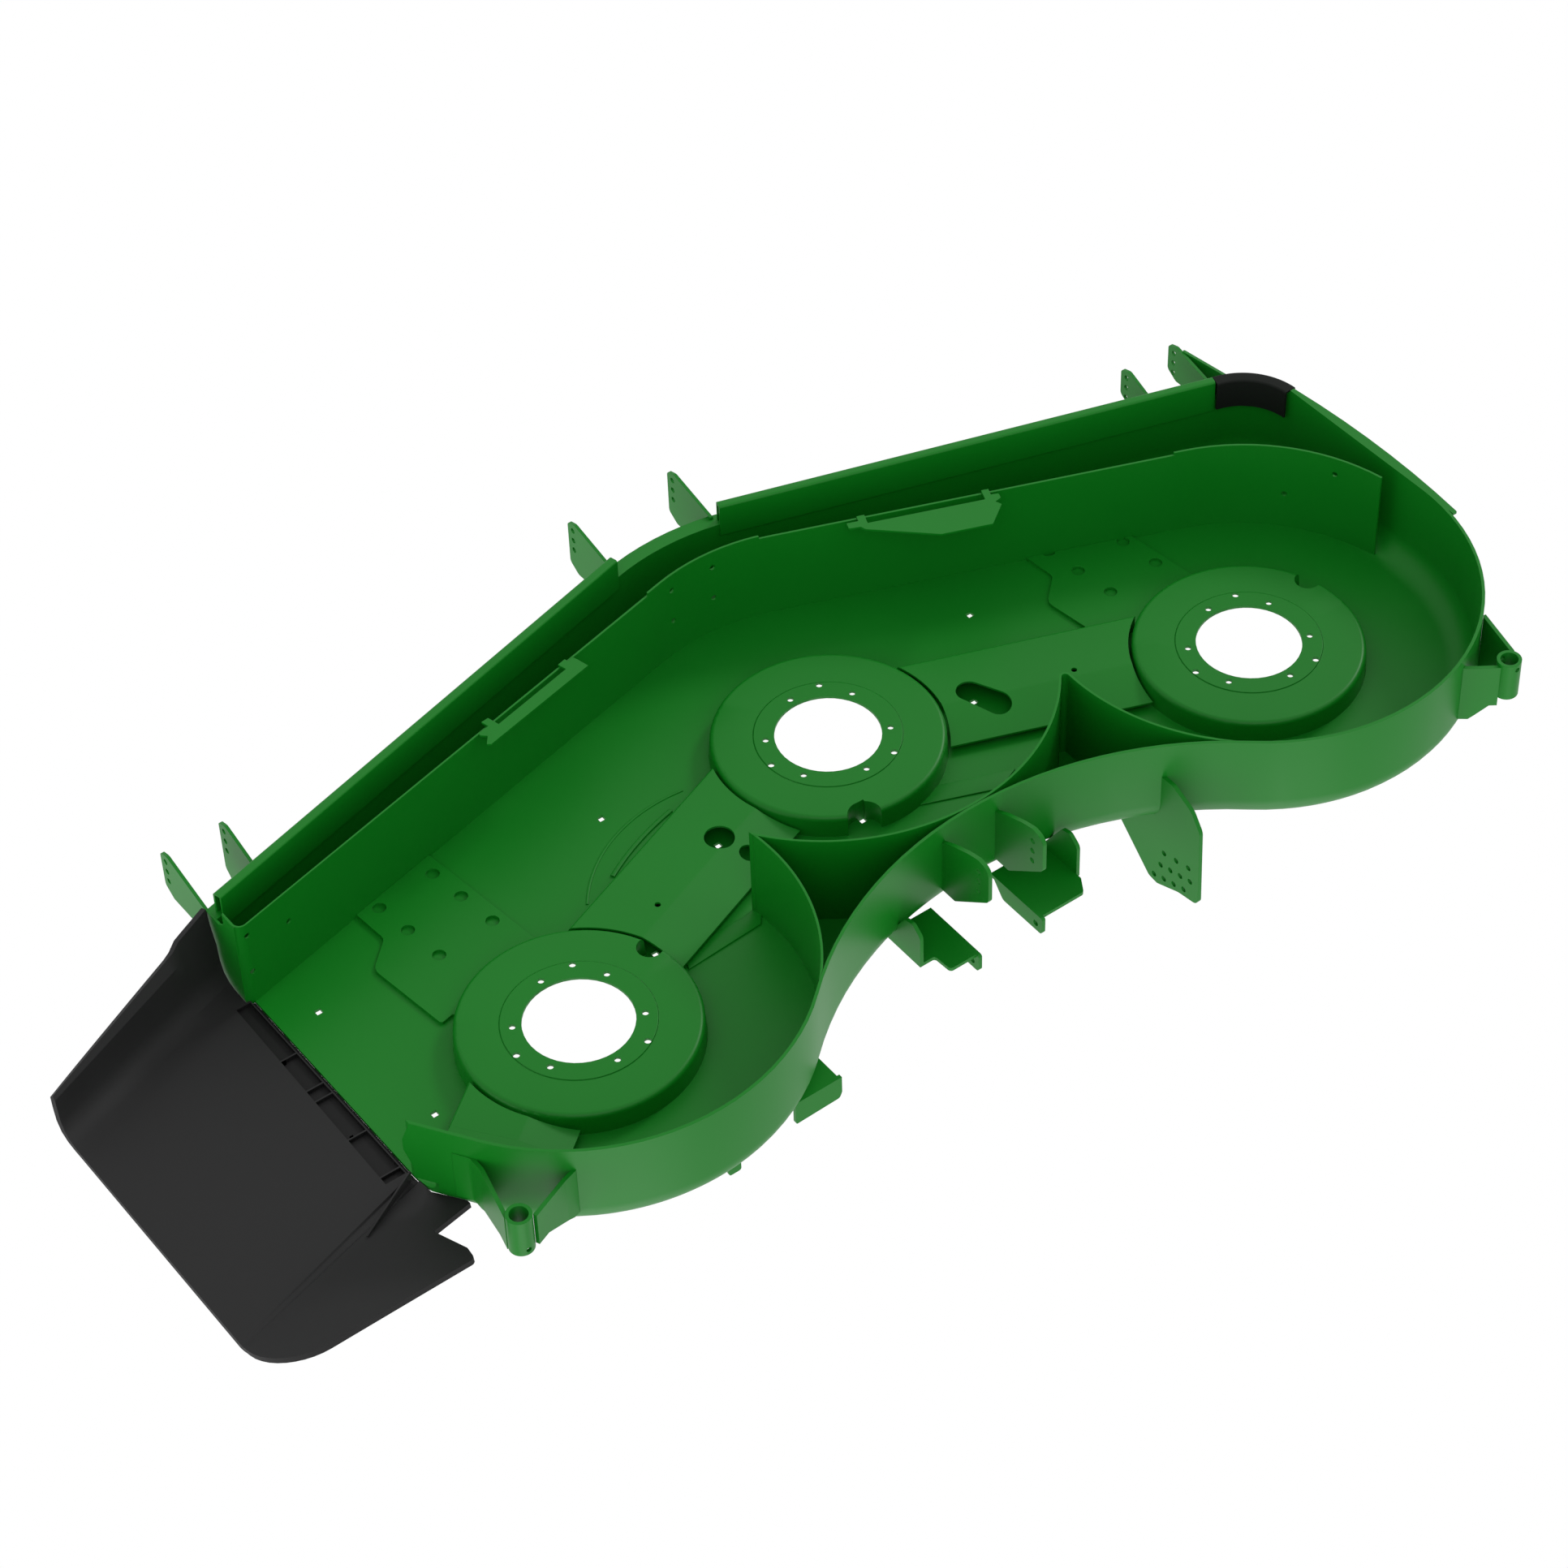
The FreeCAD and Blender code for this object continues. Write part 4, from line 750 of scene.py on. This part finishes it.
def makeStampedArc(name, arc):
    first = math.radians(arc["from"])
    x = arc["centre"][0] + arc["radius"] * math.cos(first)
    y = arc["centre"][1] + arc["radius"] * math.sin(first)
    bpy.ops.object.select_all(action="DESELECT")
    bpy.ops.mesh.primitive_plane_add(
        size=1, location=(x, y, stamping["level"] - arc["rise"] / 2), rotation=(math.pi / 2, 0, first)
    )
    ridge = openEdit(name, (arc["width"], arc["rise"], 1))
    bpy.ops.mesh.select_all(action="SELECT")
    # spin takes its angle with the sign turned round
    turn = math.radians(arc["from"] - arc["to"])
    bpy.ops.mesh.spin(steps=stamping["arcSteps"], angle=turn, center=(*arc["centre"], 0), axis=(0, 0, 1))
    faceOutwards()
    # the long lower edges are rounded, and those across the ends are not
    low = stamping["level"] - arc["rise"]
    pick(ridge, "EDGE", lambda spot: abs(spot.z - low) < near["level"])
    sketch = bmesh.from_edit_mesh(ridge.data)
    for edge in sketch.edges:
        across = edge.verts[0].co.xy - edge.verts[1].co.xy
        outward = edge.verts[0].co.xy - Vector(arc["centre"])
        if edge.select and abs(across.normalized().dot(outward.normalized())) > stamping["arcEnd"]:
            edge.select_set(False)
    bmesh.update_edit_mesh(ridge.data)
    bpy.ops.mesh.bevel(offset=arc["rise"] * stamping["arcBevel"], segments=3, affect="EDGES")
    closeEdit()
    finishGreen(ridge)


def makeStampedBand(name, corners):
    middle = sum((Vector(corner) for corner in corners), Vector((0, 0))) / len(corners)
    half = stamping["bandStart"] / 2
    bpy.ops.object.select_all(action="DESELECT")
    bpy.ops.mesh.primitive_plane_add(size=stamping["bandStart"], location=(*middle, stamping["level"]))
    band = openEdit(name)
    # the plane's corners in the same turning order as the band's
    signs = ((1, 1), (-1, 1), (-1, -1), (1, -1))
    for (signX, signY), goal in zip(signs, corners):
        x, y = middle.x + signX * half, middle.y + signY * half
        pick(band, "VERT", lambda spot: abs(spot.x - x) < near["corner"] and abs(spot.y - y) < near["corner"])
        bpy.ops.transform.translate(value=(goal[0] - x, goal[1] - y, 0))
    bpy.ops.mesh.select_all(action="SELECT")
    extrudeBy((0, 0, -stamping["bandRise"]))
    faceOutwards()
    pickFaces(band, lambda spot, way: way.z < -facing)
    bpy.ops.mesh.bevel(offset=stamping["bandBevel"], segments=2, affect="EDGES")
    closeEdit()
    finishGreen(band)


# the last cross member's flat runs on behind the rear baffle's rim: places from the discharge spindle
memberLip = {
    "spindle": (0.6, -0.2307),
    "turn": -36.87,
    "near": 0.2190,
    "far": 0.2360,
    "low": 0.0140,
    "high": 0.1085,
    "level": 0.0060,
    "wall": 0.0034,
    "slopeReach": 0.040,
    "slopeRise": 0.0097,
}


def makeMemberLip():
    turn = math.radians(memberLip["turn"])
    along = (memberLip["near"] + memberLip["far"]) / 2
    across = (memberLip["low"] + memberLip["high"]) / 2
    x = memberLip["spindle"][0] + along * math.cos(turn) - across * math.sin(turn)
    y = memberLip["spindle"][1] + along * math.sin(turn) + across * math.cos(turn)
    bpy.ops.object.select_all(action="DESELECT")
    bpy.ops.mesh.primitive_cube_add(
        size=1, location=(x, y, memberLip["level"] + memberLip["wall"] / 2), rotation=(0, 0, turn)
    )
    sides = (memberLip["far"] - memberLip["near"], memberLip["high"] - memberLip["low"], memberLip["wall"])
    lip = openEdit("memberLip", sides)
    # past the crease it slopes up, as the member does
    side = Vector((math.sin(turn), -math.cos(turn), 0))
    pickFaces(lip, lambda spot, way: way.dot(side) > facing)
    extrudeBy((*(side * memberLip["slopeReach"]).xy, memberLip["slopeRise"]))
    closeEdit()
    finishGreen(lip)


makeMemberLip()
for name, arc in stamping["arcs"].items():
    makeStampedArc(name, arc)
for name, corners in stamping["bands"].items():
    makeStampedBand(name, corners)
print("stampings made")

# light: a pale room all round, three lamps on the open side, one beside the chute and one above
room = {"level": 0.70, "backdrop": 1.0}
world = bpy.data.worlds.new("room")
world.use_nodes = True
bpy.context.scene.world = world
bench = Bench(world.node_tree)
rays = bench.make("ShaderNodeLightPath")
seen = bench.maths("MAXIMUM", rays, Wire(bench, rays.socket.node.outputs["Is Glossy Ray"]))
seen = bench.maths("MAXIMUM", seen, Wire(bench, rays.socket.node.outputs["Is Transmission Ray"]))
strength = room["level"] + (room["backdrop"] - room["level"]) * seen
backdrop = bench.make("ShaderNodeBackground", {}, {"Color": (1, 1, 1, 1), "Strength": strength})
bench.finish("ShaderNodeOutputWorld", backdrop)

lamps = {
    "keyLamp": {"from": (0.45, -0.70, -0.75), "strength": 0.42, "angle": 40.0},
    "lowLamp": {"from": (0.50, -1.00, -0.15), "strength": 0.34, "angle": 40.0},
    "sideLamp": {"from": (-0.86, 0.18, -0.60), "strength": 0.95, "angle": 12.0},
    "edgeLamp": {"from": (1.0, 0.10, 0.15), "strength": 0.86, "angle": 40.0},
    "overLamp": {"from": (0.20, -0.50, 1.00), "strength": 0.60, "angle": 40.0},
}
for name, lamp in lamps.items():
    data = bpy.data.lights.new(name, "SUN")
    data.energy = lamp["strength"]
    data.angle = math.radians(lamp["angle"])
    sun = bpy.data.objects.new(name, data)
    sun.rotation_euler = Vector(lamp["from"]).to_track_quat("Z", "Y").to_euler()
    bpy.context.scene.collection.objects.link(sun)

# floor: only the camera sees it, and only from above, so the lamps below shine through
# it fades out between two distances from the middle
ground = {
    "size": 24.0,
    "gap": 0.0002,
    "shade": (0.86, 0.86, 0.86, 1),
    "fadeStart": 2.0,
    "fadeEnd": 9.0,
}
bpy.ops.object.select_all(action="DESELECT")
bpy.ops.mesh.primitive_plane_add(size=ground["size"], location=(0, 0, cadBox[0].z - ground["gap"]))
floor = bpy.context.object
floor.name = "floor"
floorMaterial, bench = newBench("floor")
rays = bench.make("ShaderNodeLightPath")
behind = bench.make("ShaderNodeNewGeometry", out="Backfacing")
where = bench.make("ShaderNodeTexCoord", out="Object")
away = bench.make("ShaderNodeVectorMath", {"operation": "LENGTH"}, {0: where}, "Value")
fade = bench.slide(away, ground["fadeStart"], ground["fadeEnd"], 1.0, 0.0)
shown = rays * (1 - behind) * fade
clear = bench.make("ShaderNodeBsdfTransparent")
pale = bench.make("ShaderNodeBsdfDiffuse", {}, {"Color": ground["shade"]})
bench.finish("ShaderNodeOutputMaterial", bench.make("ShaderNodeMixShader", {}, {0: shown, 1: clear, 2: pale}))
floor.data.materials.append(floorMaterial)
bpy.context.scene.view_settings.view_transform = "Standard"
print("stage set")
